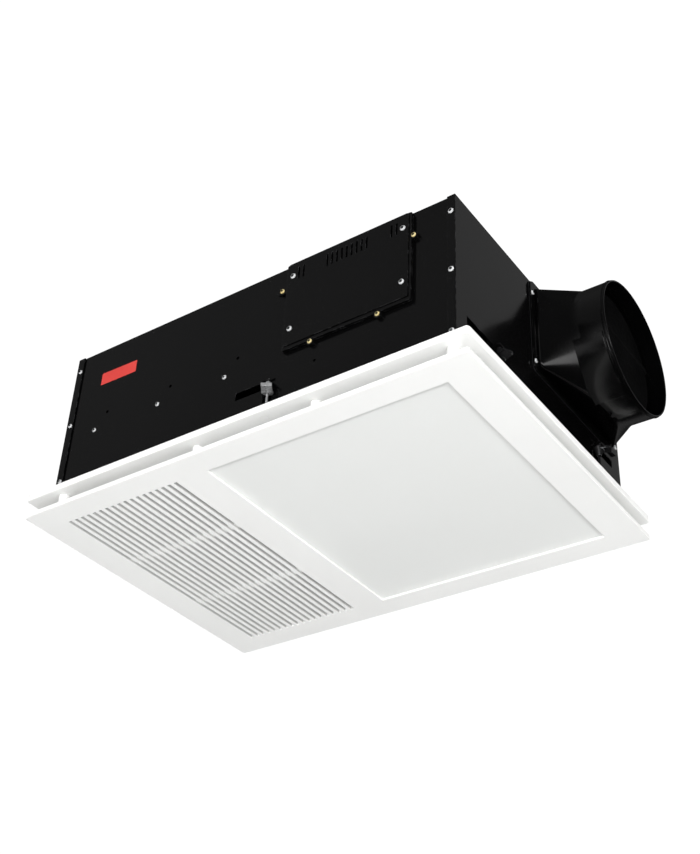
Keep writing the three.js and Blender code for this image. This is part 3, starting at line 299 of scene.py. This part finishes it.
def pan_screw(group, place, out, radius=2.6, height=1.7):
    """Add a pan head with a cross recess, on a washer face, to a group of screws."""
    bm = bmesh.new()
    bmesh.ops.create_circle(bm, cap_ends=True, segments=24, radius=radius * mm)
    face = bm.faces[:][0]
    for rise, size in ((0.3, 1.0), (0.02, 0.9), (0.2, 0.99), (0.25, 0.9), (0.17, 0.72),
                       (0.0, 0.98)):
        face = raised_face(bm, face, rise * height, size)
    # The top face's rim is drawn in to a cross: four arms, each with two corners at its end.
    arm_reach, arm_half_width = 0.44 * radius * mm, 0.11 * radius * mm
    arm_middle, arm_edge = radians(5), radians(20)
    for vert in face.verts:
        angle = atan2(vert.co.y, vert.co.x)
        quarter = round(angle / (pi / 2)) * pi / 2
        off = angle - quarter
        side = 0 if abs(off) < arm_middle else (1 if off > 0 else -1)
        x = arm_reach if abs(off) < arm_edge else arm_half_width
        y = side * arm_half_width
        vert.co.x = x * cos(quarter) - y * sin(quarter)
        vert.co.y = x * sin(quarter) + y * cos(quarter)
    raised_face(bm, face, -0.55 * height, 0.7)
    bmesh.ops.remove_doubles(bm, verts=bm.verts, dist=1e-6)
    bmesh.ops.recalc_face_normals(bm, faces=bm.faces)
    turned(bm, place, out)
    gathered(group, bm)


screw_zinc = surface("satin_zinc_plate", (0.62, 0.63, 0.64), (0.76, 0.765, 0.77), 0.34,
                     metallic=0.25, cloud=60, grain=700, grain_depth=0.01,
                     wear_and_painted_shade=(0.85, 0.85, 0.85))
zinc = surface("bright_zinc_plate", (0.5, 0.51, 0.53), (0.68, 0.69, 0.71), 0.2, metallic=1.0,
               cloud=60, grain=700, grain_depth=0.01, wear_and_painted_shade=(0.8, 0.8, 0.8))
wall_seat, strip_seat, end_seat, roof_seat = 175.9, 177.7, 258.4, 190.9
wall_row = ((-213.2, 74.8), (-119.7, 75.1), (-25.9, 74.4))
strip_rows = ((-252.6, 171.1), (-252.6, 93.7), (253.5, 169.4), (253.5, 92.4), (253.5, 16.2),
              (-252.6, 18.2))
end_row, end_row_z = (-150, -50, 50, 150), 183
roof_rows = ((-230, -168), (-110, -168), (15, -168), (235, -168), (-230, 168), (-110, 168),
             (15, 168), (125, 168), (235, 168), (-250, 0), (250, 0))
screws = bmesh.new()
for side in (-1, 1):
    for x, z in wall_row:
        pan_screw(screws, (x, side * wall_seat, z), (0, side, 0))
    for x, z in strip_rows:
        pan_screw(screws, (x, side * strip_seat, z), (0, side, 0), radius=2.6 if x < 0 else 3.0)
for y in end_row:
    pan_screw(screws, (-end_seat, y, end_row_z), (-1, 0, 0))
for x, y in roof_rows:
    pan_screw(screws, (x, y, roof_seat), (0, 0, 1))
fitted(screws, "housing_screws", screw_zinc, "housing", "zinc_steel", smooth=30)

# Punched holes beside the lower screws: a proud drawn edge round a matt near black disc of painted
# shade.
hole_painted_shade = surface("punched_hole_painted_shade", (0.0008, 0.0008, 0.0008), (0.0016, 0.0016, 0.0016), 0.9,
                    specular=0.05, cloud=60)
eyelet_seat, eyelet_edge = 176.02, 0.3
holes = bmesh.new()
for side in (-1, 1):
    for x, z, radius in ((-197.1, 94.3, 1.6), (-103.7, 93.3, 1.6), (-9.8, 93.3, 1.6),
                         (92.7, 48.5, 1.3)):
        bm = bmesh.new()
        bmesh.ops.create_circle(bm, cap_ends=True, segments=20, radius=(radius + eyelet_edge) * mm)
        face = bm.faces[:][0]
        for rise, size in ((0.12, 0.92), (0.0, 0.86), (-0.1, 0.96)):
            face = raised_face(bm, face, rise, size)
        bmesh.ops.recalc_face_normals(bm, faces=bm.faces)
        turned(bm, (x, side * eyelet_seat, z), (0, side, 0))
        gathered(holes, bm)
fitted(holes, "housing_punched_holes", hole_painted_shade, "housing", "black_steel")

# ---------------------------------------------------------------- Label place
# A blank red vinyl label with round corners, stuck on the long wall a little askew. It is left
# bare.


def rounded_face(bm, corners, radius, steps):
    """A flat face through a few corners, with the corners rounded."""
    before = set(bm.faces)
    face = bm.faces.new([bm.verts.new(Vector(corner) * mm) for corner in corners])
    bmesh.ops.bevel(bm, geom=list(face.verts), offset=radius * mm, offset_type="OFFSET",
                    segments=steps, profile=0.5, affect="VERTICES", clamp_overlap=False,
                    material=-1)
    return next(f for f in bm.faces if f not in before)


def thickened(bm, thickness):
    """Give flat faces a thickness along a direction."""
    made = bmesh.ops.extrude_face_region(bm, geom=bm.faces[:])["geom"]
    bmesh.ops.translate(bm, verts=[v for v in made if isinstance(v, bmesh.types.BMVert)],
                        vec=Vector(thickness) * mm)
    bmesh.ops.recalc_face_normals(bm, faces=bm.faces)


label_red = surface("red_vinyl", (0.59, 0.045, 0.037), (0.65, 0.058, 0.049), 0.35, cloud=30,
                    grain=600, grain_depth=0.008)
wall_y = -176.0
bm = bmesh.new()
rounded_face(bm, [(x, wall_y, z) for x, z in ((-215.4, 138.2), (-162.1, 137.4), (-162.3, 153.6),
                                              (-215.5, 154.8))], 0.8, 4)
thickened(bm, (0, -0.12, 0))
fitted(bm, "blank_label", label_red, "housing", "black_steel")

# ---------------------------------------------------------------- Wiring box
# A folded steel box let into the long wall. Its raised surround has four ears, held by yellow zinc
# screws, and the shallow lid with narrow vents lies in it, held by four bright zinc screws.


def rectangle(left, right, low, top):
    """A rectangle's four corners, in order."""
    return [(left, low), (right, low), (right, top), (left, top)]


def rounded_frame(outline, opening, thickness):
    """A flat frame between two outlines, each given as corners, radius and steps."""
    bm = bmesh.new()
    edges = []
    for corners, radius, steps in (outline, opening):
        face = rounded_face(bm, corners, radius, steps)
        edges += face.edges[:]
        bmesh.ops.delete(bm, geom=[face], context="FACES_ONLY")
    bmesh.ops.bridge_loops(bm, edges=edges)
    thickened(bm, thickness)
    round_edges(bm, 0.3)
    return bm


def screw_set(name, finish, places, out, radius, height=1.7):
    """Make like screws that face one way one piece."""
    screws = bmesh.new()
    for place in places:
        pan_screw(screws, place, out, radius, height)
    fitted(screws, name, finish, "housing", "zinc_steel", smooth=30)


# The plate that lies on the wall is trimmed at its right and lower edges, as in the photograph.
box_left, box_right, box_low, box_top = 52.6, 209.4, 73.1, 188.9
on_wall = -176.2
bm = packed_shape("wiring_box")
for vert in bm.verts:
    if vert.co.y < on_wall * mm:
        vert.co.x = min(vert.co.x, box_right * mm)
        vert.co.z = max(vert.co.z, box_low * mm)
round_edges(bm, 0.3)
fitted(bm, "wiring_box_folding", powder_black, "housing", "black_steel", "wiring_box")
dressed("wiring_box_lid", "wiring_box_lid_pan", powder_black, "housing", "black_steel", 0.35)

surround_y = -178.15
outline = [(x, surround_y, z) for x, z in rectangle(box_left, box_right, box_low, box_top)]
opening = [(x, surround_y, z) for x, z in rectangle(54.2, 206.8, 77.2, 188.6)]
bm = rounded_frame((outline, 1.5, 5), (opening, 0.15, 2), (0, -2.6, 0))
fitted(bm, "wiring_box_surround", powder_black, "housing", "black_steel")

ears = ((47.2, 156.6, (1, 0, 0)), (88.3, 71.9, (0, 0, 1)), (170.3, 71.6, (0, 0, 1)),
        (211.6, 156.1, (-1, 0, 0)))
ear_radius, ear_thickness, ear_overlap = 4.4, 4.1, 3
bm = bmesh.new()
for x, z, to_box in ears:
    ear = bmesh.new()
    bmesh.ops.create_cone(ear, cap_ends=True, segments=32, radius1=ear_radius * mm,
                          radius2=ear_radius * mm, depth=ear_thickness * mm)
    turned(ear, (x, surround_y, z), (0, -1, 0))
    middle, to_box = Vector((x, surround_y, z)) * mm, Vector(to_box)
    inner = [v for v in ear.verts if (v.co - middle).dot(to_box) > 0.01 * mm]
    bmesh.ops.translate(ear, verts=inner, vec=to_box * ear_overlap * mm)
    round_edges(ear, 0.25)
    gathered(bm, ear)
fitted(bm, "wiring_box_ears", powder_black, "housing", "black_steel")

yellow_zinc = surface("yellow_zinc_plate", (0.72, 0.56, 0.22), (0.85, 0.74, 0.42), 0.34,
                      metallic=0.3, cloud=120, grain=700, grain_depth=0.01)
ear_seat, lid_seat, terminal_seat, terminal_z = -180.15, -181.8, -145.9, 138
screw_set("wiring_box_ear_screws", yellow_zinc, [(x, ear_seat, z) for x, z, to_box in ears],
          (0, -1, 0), 2.7, 1.6)
lid_screws = ((61.6, 170.2), (61.9, 98.4), (199.5, 169.8), (199.0, 98.5))
screw_set("wiring_box_lid_screws", screw_zinc, [(x, lid_seat, z) for x, z in lid_screws],
          (0, -1, 0), 3.05)

dressed("terminal_block", "terminal_block_moulding", solder_mask, "housing", "circuit_white", 0.4)
screw_set("terminal_screws", zinc,
          [(95 + 14 * way, terminal_seat, terminal_z) for way in range(6)], (0, -1, 0), 2.7)

rubber = surface("grommet_rubber", (0.012, 0.012, 0.013), (0.02, 0.02, 0.021), 0.75, specular=0.3,
                 cloud=80, grain=900, grain_depth=0.04)
dressed("cable_grommet", "cable_grommet_ring", rubber, "housing", "rubber", 0.6, segments=3)

# ---------------------------------------------------------------- Duct adaptor
# A glossy black moulding that turns the rectangular outlet into a round collar, screwed to the end
# wall through its flange over a foam gasket. The collar has a bead, a pad for the axle and, inside,
# a moulded flap on that axle.

gloss_black = surface("adaptor_gloss_black", (0.0006, 0.0006, 0.0007), (0.0011, 0.0011, 0.0012),
                      0.17, specular=0.5, cloud=12, grain=160, grain_depth=0.012,
                      wear_and_painted_shade=(0.012, 0.012, 0.012), wear_and_shade_share=0.5)
collar_y, collar_z, collar_start = 71.0, 129.5, 299
bore_radius, collar_radius = 75.5, 77.5


def collar_ring(x, radius):
    """A round ring of the collar, as the place that lies in each direction from its middle."""
    return lambda way: Vector((x, collar_y, collar_z)) + way * radius


def funnel_ring(share, half_y, half_z, x_throat, radius):
    """A ring on straight lines from the throat's four corners to the collar's start."""
    def place(way):
        nearly_zero = 1e-6
        corner = Vector((x_throat, collar_y + (half_y if way.y > -nearly_zero else -half_y),
                         collar_z + (half_z if way.z > -nearly_zero else -half_z)))
        return corner.lerp(collar_ring(collar_start, radius)(way), share)
    return place


throat_half_y, throat_half_z, moulding = 86, 50, 2
funnel_shares = [step / 8 for step in range(9)]
inside = [funnel_ring(share, throat_half_y, throat_half_z, 259.8, bore_radius)
          for share in funnel_shares]
rim_and_bead = [collar_ring(x, radius) for x, radius in (
    (320, bore_radius), (333.4, bore_radius), (333.8, 75.8), (333.95, 76.2), (333.95, 76.9),
    (333.7, 77.3), (333.2, collar_radius), (331.6, collar_radius), (331.2, 78.0), (330.7, 78.2),
    (330.2, 78.0), (329.8, collar_radius), (305, collar_radius))]
outside = [funnel_ring(share, throat_half_y + moulding, throat_half_z + moulding, 261,
                       collar_radius) for share in reversed(funnel_shares)]
bm = bmesh.new()
bmesh.ops.create_circle(bm, cap_ends=False, segments=96, radius=1.0)
around = {vert: Vector((0, vert.co.x, vert.co.y)) for vert in bm.verts}
edges = bm.edges[:]
for number, place in enumerate(inside + rim_and_bead + outside):
    if number:
        made = bmesh.ops.extrude_edge_only(bm, edges=edges)["geom"]
        around = {item: next(around[e.other_vert(item)] for e in item.link_edges
                             if e.other_vert(item) in around)
                  for item in made if isinstance(item, bmesh.types.BMVert)}
        edges = [item for item in made if isinstance(item, bmesh.types.BMEdge)
                 and all(vert in around for vert in item.verts)]
    for vert, way in around.items():
        vert.co = place(way) * mm
bmesh.ops.remove_doubles(bm, verts=bm.verts, dist=1e-5)
bmesh.ops.recalc_face_normals(bm, faces=bm.faces)
fitted(bm, "duct_adaptor_funnel_and_collar", gloss_black, "housing", "black_plastic",
       "duct_adaptor", smooth=30)

# The flange, and the gasket under it, are thinner than in the solids, as in the photograph.
flange_back, flange_thickness = 259.5, 1.8
outline = [(flange_back, y, z) for y, z in rectangle(-25.8, 169.5, 69, 190)]
opening = [(flange_back, y, z) for y, z in rectangle(-15, 157, 79.5, 179.5)]
bm = rounded_frame((outline, 8, 6), (opening, 0.6, 2), (flange_thickness, 0, 0))
fitted(bm, "duct_adaptor_flange", gloss_black, "housing", "black_plastic")

pad_start, pad_end, pad_low, pad_high = 293, 328.4, 76.8, 79.6
pad_from, pad_turn, pad_steps = radians(-18), radians(-54), 27
centre = (0, collar_y * mm, collar_z * mm)
bm = bmesh.new()
bm.faces.new([bm.verts.new((x * mm, collar_y * mm, (collar_z - radius) * mm)) for x, radius
              in ((pad_start, pad_low), (pad_end, pad_low), (pad_end, pad_high),
                  (pad_start, pad_high))])
bmesh.ops.rotate(bm, verts=bm.verts, cent=centre, matrix=Matrix.Rotation(pad_from, 3, "X"))
bmesh.ops.spin(bm, geom=bm.faces[:] + bm.edges[:] + bm.verts[:], cent=centre, axis=(1, 0, 0),
               dvec=(0, 0, 0), angle=pad_turn, steps=pad_steps, use_merge=False,
               use_duplicate=False)
bmesh.ops.remove_doubles(bm, verts=bm.verts, dist=1e-6)
bmesh.ops.recalc_face_normals(bm, faces=bm.faces)
round_edges(bm, 0.5, corner=50)
fitted(bm, "duct_adaptor_axle_pad", gloss_black, "housing", "black_plastic")

flange_seat = 261.2
screw_set("duct_adaptor_screws", screw_zinc,
          [(flange_seat, y, z) for y in (-22.0, 164.5) for z in (172.7, 80.6)], (1, 0, 0), 2.5)

foam = surface("gasket_foam", (0.006, 0.006, 0.0065), (0.012, 0.012, 0.013), 0.95, specular=0.1,
               cloud=200, grain=1200, grain_depth=0.2)
gasket_thickness, gasket_edge = 0.9, -25.6
bm = packed_shape("duct_gasket")
wall_face = min(vert.co.x for vert in bm.verts)
for vert in bm.verts:
    vert.co.x = min(vert.co.x, wall_face + gasket_thickness * mm)
    vert.co.y = max(vert.co.y, gasket_edge * mm)
fitted(bm, "duct_gasket_strip", foam, "housing", "foam", "duct_gasket")

flap_black = surface("flap_moulded_black", (0.0025, 0.0025, 0.0026), (0.004, 0.004, 0.0041), 0.8,
                     specular=0.015, cloud=40, grain=500, grain_depth=0.03)
# The zinc axle pin is drawn near black, as painted shade inside the collar.
axle_painted_shade = surface("axle_with_painted_shade", (0.002, 0.002, 0.0021), (0.0035, 0.0035, 0.0036), 0.5,
                     specular=0.05, cloud=60, grain=700, grain_depth=0.01)
dressed("damper_flap", "damper_flap_disc", flap_black, "damper", "black_plastic", 0.3, corner=50)
dressed("damper_axle", "damper_axle_pin", axle_painted_shade, "housing", "zinc_steel", 0.25, corner=50)

# ---------------------------------------------------------------- Exhaust blower
# A centrifugal blower above the light panel: a moulded volute with its inlet plate, a moulded wheel
# with 26 blades, and a flat steel motor hung from the volute's roof.

moulded_black = surface("volute_moulded_black", (0.008, 0.008, 0.0085), (0.014, 0.014, 0.015), 0.4,
                        cloud=15, grain=500, grain_depth=0.03, wear_and_painted_shade=(0.03, 0.03, 0.03))
for node in ("exhaust_scroll", "exhaust_inlet_plate"):
    dressed(node, node + "_moulding", moulded_black, "housing", "fan_plastic", 0.5, corner=50)
galvanised = surface("galvanised_sheet", (0.42, 0.43, 0.44), (0.6, 0.61, 0.62), 0.42,
                     metallic=0.85, cloud=55, grain=300, grain_depth=0.01,
                     wear_and_painted_shade=(0.75, 0.76, 0.77))
dressed("exhaust_motor", "exhaust_motor_can", galvanised, "housing", "plain_steel", 1.0,
        segments=3, corner=50)


def painted(material, node):
    """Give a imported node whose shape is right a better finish."""
    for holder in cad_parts[node].material_slots:
        holder.link = "OBJECT"
        holder.material = material


painted(moulded_black, "exhaust_wheel")
painted(zinc, "exhaust_shaft")

# ---------------------------------------------------------------- Heater
# A steel duct over the grille holds the heating element: thin aluminium fins between ceramic bars.
# Both are drawn dark, as painted shade behind the grille. Above it are the moulded shroud, the
# seven-bladed fan, its motor on a zinc plated strap, and the overheat cutout.

# The fins and the duct are drawn dark as painted shade behind the grille.
element_fins = surface("heater_fins_with_painted_shade", (0.08, 0.078, 0.075), (0.14, 0.137, 0.13),
                       0.5, metallic=0.6, cloud=90, grain=900, grain_depth=0.02)
heater_steel_painted_shade = surface("heater_steel_with_painted_shade", (0.03, 0.031, 0.033), (0.06, 0.061, 0.064), 0.55,
                      metallic=0.7, cloud=40, grain=300, grain_depth=0.01)
dressed("heater_duct", "heater_duct_folding", heater_steel_painted_shade, "housing", "plain_steel", 0.4)
painted(element_fins, "heating_element")
dressed("heater_fan_shroud", "heater_fan_shroud_moulding", moulded_black, "housing",
        "fan_plastic", 0.5, corner=50)
painted(moulded_black, "heater_fan_wheel")
dressed("heater_fan_motor", "heater_fan_motor_can", galvanised, "housing", "plain_steel", 2.0,
        segments=3, corner=50)
painted(zinc, "heater_fan_shaft")
dressed("heater_motor_bracket", "heater_motor_strap", zinc, "housing", "zinc_steel", 0.5)
cream_ceramic = surface("cream_ceramic", (0.6, 0.56, 0.46), (0.7, 0.66, 0.56), 0.45, cloud=90,
                        grain=600, grain_depth=0.03)
dressed("thermal_cutout", "overheat_cutout", cream_ceramic, "housing", "ceramic", 0.2, corner=50)

# ---------------------------------------------------------------- Ceiling clamps
# A long zinc plated screw turns a zinc dog with a turned-up lip out over the ceiling board. Its
# black bracket comes out of the box through an L-shaped slot. The end walls' clamps are drawn near
# black, which is painted shade on the zinc.

dog_zinc = surface("dog_zinc_plate", (0.38, 0.385, 0.39), (0.54, 0.545, 0.55), 0.28, metallic=0.6,
                   cloud=90, grain=700, grain_depth=0.01, wear_and_painted_shade=(0.85, 0.86, 0.87),
                   wear_and_shade_share=0.9)
end_clamp_painted_shade = surface("end_clamp_zinc_with_painted_shade", (0.012, 0.012, 0.013), (0.022, 0.022, 0.023), 0.22,
                    metallic=0.6, cloud=90, grain=700, grain_depth=0.01, wear_and_painted_shade=(0.4, 0.41, 0.42),
                    wear_and_shade_share=0.6)


def drawn_in(vert, axis, radius, size):
    """Draw a point that lies at a radius from an upright axis nearer to the axis."""
    away = Vector((vert.co.x, vert.co.y, 0)) - axis
    if abs(away.length - radius * mm) < 0.1 * mm:
        vert.co.x, vert.co.y = (axis + away * size).xy


# The screws and the dogs' sleeves are thinner, and the dogs' plates lower, than in the solids.
screw_radius, thinner_screw = 2.0, 0.6
sleeve_radius, thinner_sleeve = 3.4, 0.78
plate_low, plate_high, plate_drop = 28.9, 33, 6.8
for place, (x, y) in clamp_places.items():
    # The end walls' clamps take a near black copy of the zinc as painted shade.
    plated = end_clamp_painted_shade if "_end_" in place else dog_zinc
    axis = Vector((x, y, 0)) * mm
    dressed("clamp_bracket_" + place, "ceiling_clamp_bracket_" + place, powder_black, "housing",
            "black_steel", 0.25)
    bm = packed_shape("clamp_screw_" + place)
    for vert in bm.verts:
        drawn_in(vert, axis, screw_radius, thinner_screw)
    round_edges(bm, 0.2, corner=50)
    fitted(bm, "ceiling_clamp_screw_" + place, plated, "clamp_swing_" + place, "zinc_steel",
           "clamp_screw_" + place)
    bm = packed_shape("clamp_dog_" + place)
    for vert in bm.verts:
        if plate_low * mm < vert.co.z < plate_high * mm:
            vert.co.z -= plate_drop * mm
        else:
            drawn_in(vert, axis, sleeve_radius, thinner_sleeve)
    round_edges(bm, 0.25, corner=50)
    fitted(bm, "ceiling_clamp_dog_" + place, plated, "clamp_grip_" + place, "zinc_steel",
           "clamp_dog_" + place)

# ---------------------------------------------------------------- Lamp driver and capacitor
# A grey moulded driver case and the motor's run capacitor, both fixed on the inside of the rear
# wall.

case_grey = surface("driver_case_grey", (0.06, 0.062, 0.066), (0.085, 0.088, 0.092), 0.5,
                    cloud=25, grain=900, grain_depth=0.05)
for node, name in (("lamp_driver", "lamp_driver_case"), ("run_capacitor", "run_capacitor_can")):
    dressed(node, name, case_grey, "housing", "grey_plastic", 0.8, segments=3, corner=50)

# ---------------------------------------------------------------- Studio
# A pale floor far below the unit, white surroundings that are bright towards the floor and dim
# overhead, and five soft lights. Those that light the white pieces are hidden from reflections,
# so that the black ones stay black.

floor_z, floor_half_size = -1.6, 25
bm = bmesh.new()
bmesh.ops.create_grid(bm, x_segments=1, y_segments=1, size=floor_half_size)
bmesh.ops.translate(bm, verts=bm.verts, vec=(0, 0, floor_z))
mesh = bpy.data.meshes.new("studio_floor")
bm.to_mesh(mesh)
bm.free()
floor = bpy.data.objects.new("studio_floor", mesh)
scene.collection.objects.link(floor)
mesh.materials.append(surface("pale_floor", (0.8, 0.8, 0.8), (0.84, 0.84, 0.84), 0.7,
                              specular=0.2, cloud=1, grain=60))
floor.visible_glossy = False

scene.view_settings.view_transform = "Standard"
world = bpy.data.worlds.new("white_studio")
scene.world = world
world.use_nodes = True
nodes, links = world.node_tree.nodes, world.node_tree.links
direction = nodes.new("ShaderNodeTexCoord")
parts = nodes.new("ShaderNodeSeparateXYZ")
links.new(direction.outputs["Generated"], parts.inputs["Vector"])


def eased(axis, start, end, at_start, at_end):
    """A strength that changes smoothly along one axis of the direction."""
    ramp = nodes.new("ShaderNodeMapRange")
    ramp.interpolation_type = "SMOOTHSTEP"
    for socket, number in (("From Min", start), ("From Max", end), ("To Min", at_start),
                           ("To Max", at_end)):
        ramp.inputs[socket].default_value = number
    links.new(parts.outputs[axis], ramp.inputs["Value"])
    return ramp.outputs["Result"]


def product(first, second):
    """Two strengths multiplied."""
    node = nodes.new("ShaderNodeMath")
    node.operation = "MULTIPLY"
    links.new(first, node.inputs[0])
    links.new(second, node.inputs[1])
    return node.outputs["Value"]


dim_overhead = eased("Z", -0.05, 0.33, 0.6, 0.14)
dark_floor = eased("Z", -0.3, -0.1, 0.1, 1.0)
dim_behind = eased("Y", -0.35, 0.45, 1.0, 0.25)
dim_duct_side = eased("X", -0.6, 0.1, 1.1, 0.35)
strength_as_light, strength_as_seen = 2.8, 1.05
rays = nodes.new("ShaderNodeLightPath")
gain = nodes.new("ShaderNodeMapRange")
gain.inputs["To Min"].default_value = strength_as_light
links.new(rays.outputs["Is Glossy Ray"], gain.inputs["Value"])
links.new(product(dim_behind, dim_duct_side), gain.inputs["To Max"])
lit = nodes["Background"]
lit.inputs["Color"].default_value = (1, 1, 1, 1)
links.new(product(product(dim_overhead, dark_floor), gain.outputs["Result"]),
          lit.inputs["Strength"])
seen = nodes.new("ShaderNodeBackground")
seen.inputs["Color"].default_value = (1, 1, 1, 1)
seen.inputs["Strength"].default_value = strength_as_seen
both = nodes.new("ShaderNodeMixShader")
links.new(rays.outputs["Is Camera Ray"], both.inputs["Fac"])
links.new(lit.outputs["Background"], both.inputs[1])
links.new(seen.outputs["Background"], both.inputs[2])
links.new(both.outputs["Shader"], nodes["World Output"].inputs["Surface"])


def softbox(name, place, aim, width, height, power, mirrored=True):
    """A soft rectangular light at a place, aimed at a point."""
    light = bpy.data.lights.new(name, "AREA")
    light.shape = "RECTANGLE"
    light.size, light.size_y, light.energy = width, height, power
    lamp = bpy.data.objects.new(name, light)
    scene.collection.objects.link(lamp)
    lamp.location = place
    lamp.rotation_euler = (Vector(aim) - Vector(place)).to_track_quat("-Z", "Y").to_euler()
    lamp.visible_camera = False
    lamp.visible_glossy = mirrored


softbox("light_from_below", (-0.1, 0.2, -1.5), (0, 0, 0), 3.0, 3.0, 8, mirrored=False)
softbox("light_beside_camera", (1.1, -2.45, -1.4), (0, 0, 0), 2.0, 1.0, 80, mirrored=False)
softbox("light_beyond_duct_end", (2.6, -0.8, -1.1), (0.2, 0, 0), 1.6, 0.8, 29, mirrored=False)
softbox("low_front_light", (1.5, -2.5, -0.65), (0, 0, 0), 2.6, 0.9, 20)
softbox("light_behind_duct_end", (1.3, 1.6, 1.5), (0.25, 0, 0.1), 1.4, 1.4, 1.2)

# ---------------------------------------------------------------- Camera
# The photograph looks up at the unit from below its duct end, 35 degrees under the ceiling's plane,
# with the camera tilted a little to one side.

azimuth, elevation, roll = radians(36.03), radians(-35.0), radians(2.60)
sensor, focal_length_in_pixels, picture_height_in_pixels = 36, 1351.7, 854
back = Vector((sin(azimuth) * cos(elevation), -cos(azimuth) * cos(elevation), sin(elevation)))
level = (-back).cross(Vector((0, 0, 1))).normalized()
above = level.cross(-back)
right = cos(roll) * level + sin(roll) * above
up = -sin(roll) * level + cos(roll) * above
camera = bpy.data.objects.new("camera", bpy.data.cameras.new("camera"))
scene.collection.objects.link(camera)
camera.data.sensor_width = sensor
camera.data.lens = sensor * focal_length_in_pixels / picture_height_in_pixels
camera.data.clip_start, camera.data.clip_end = 0.05, 50
camera.matrix_world = Matrix((right, up, back)).transposed().to_4x4()
camera.location = (0.7537, -1.0190, -0.7806)
scene.camera = camera
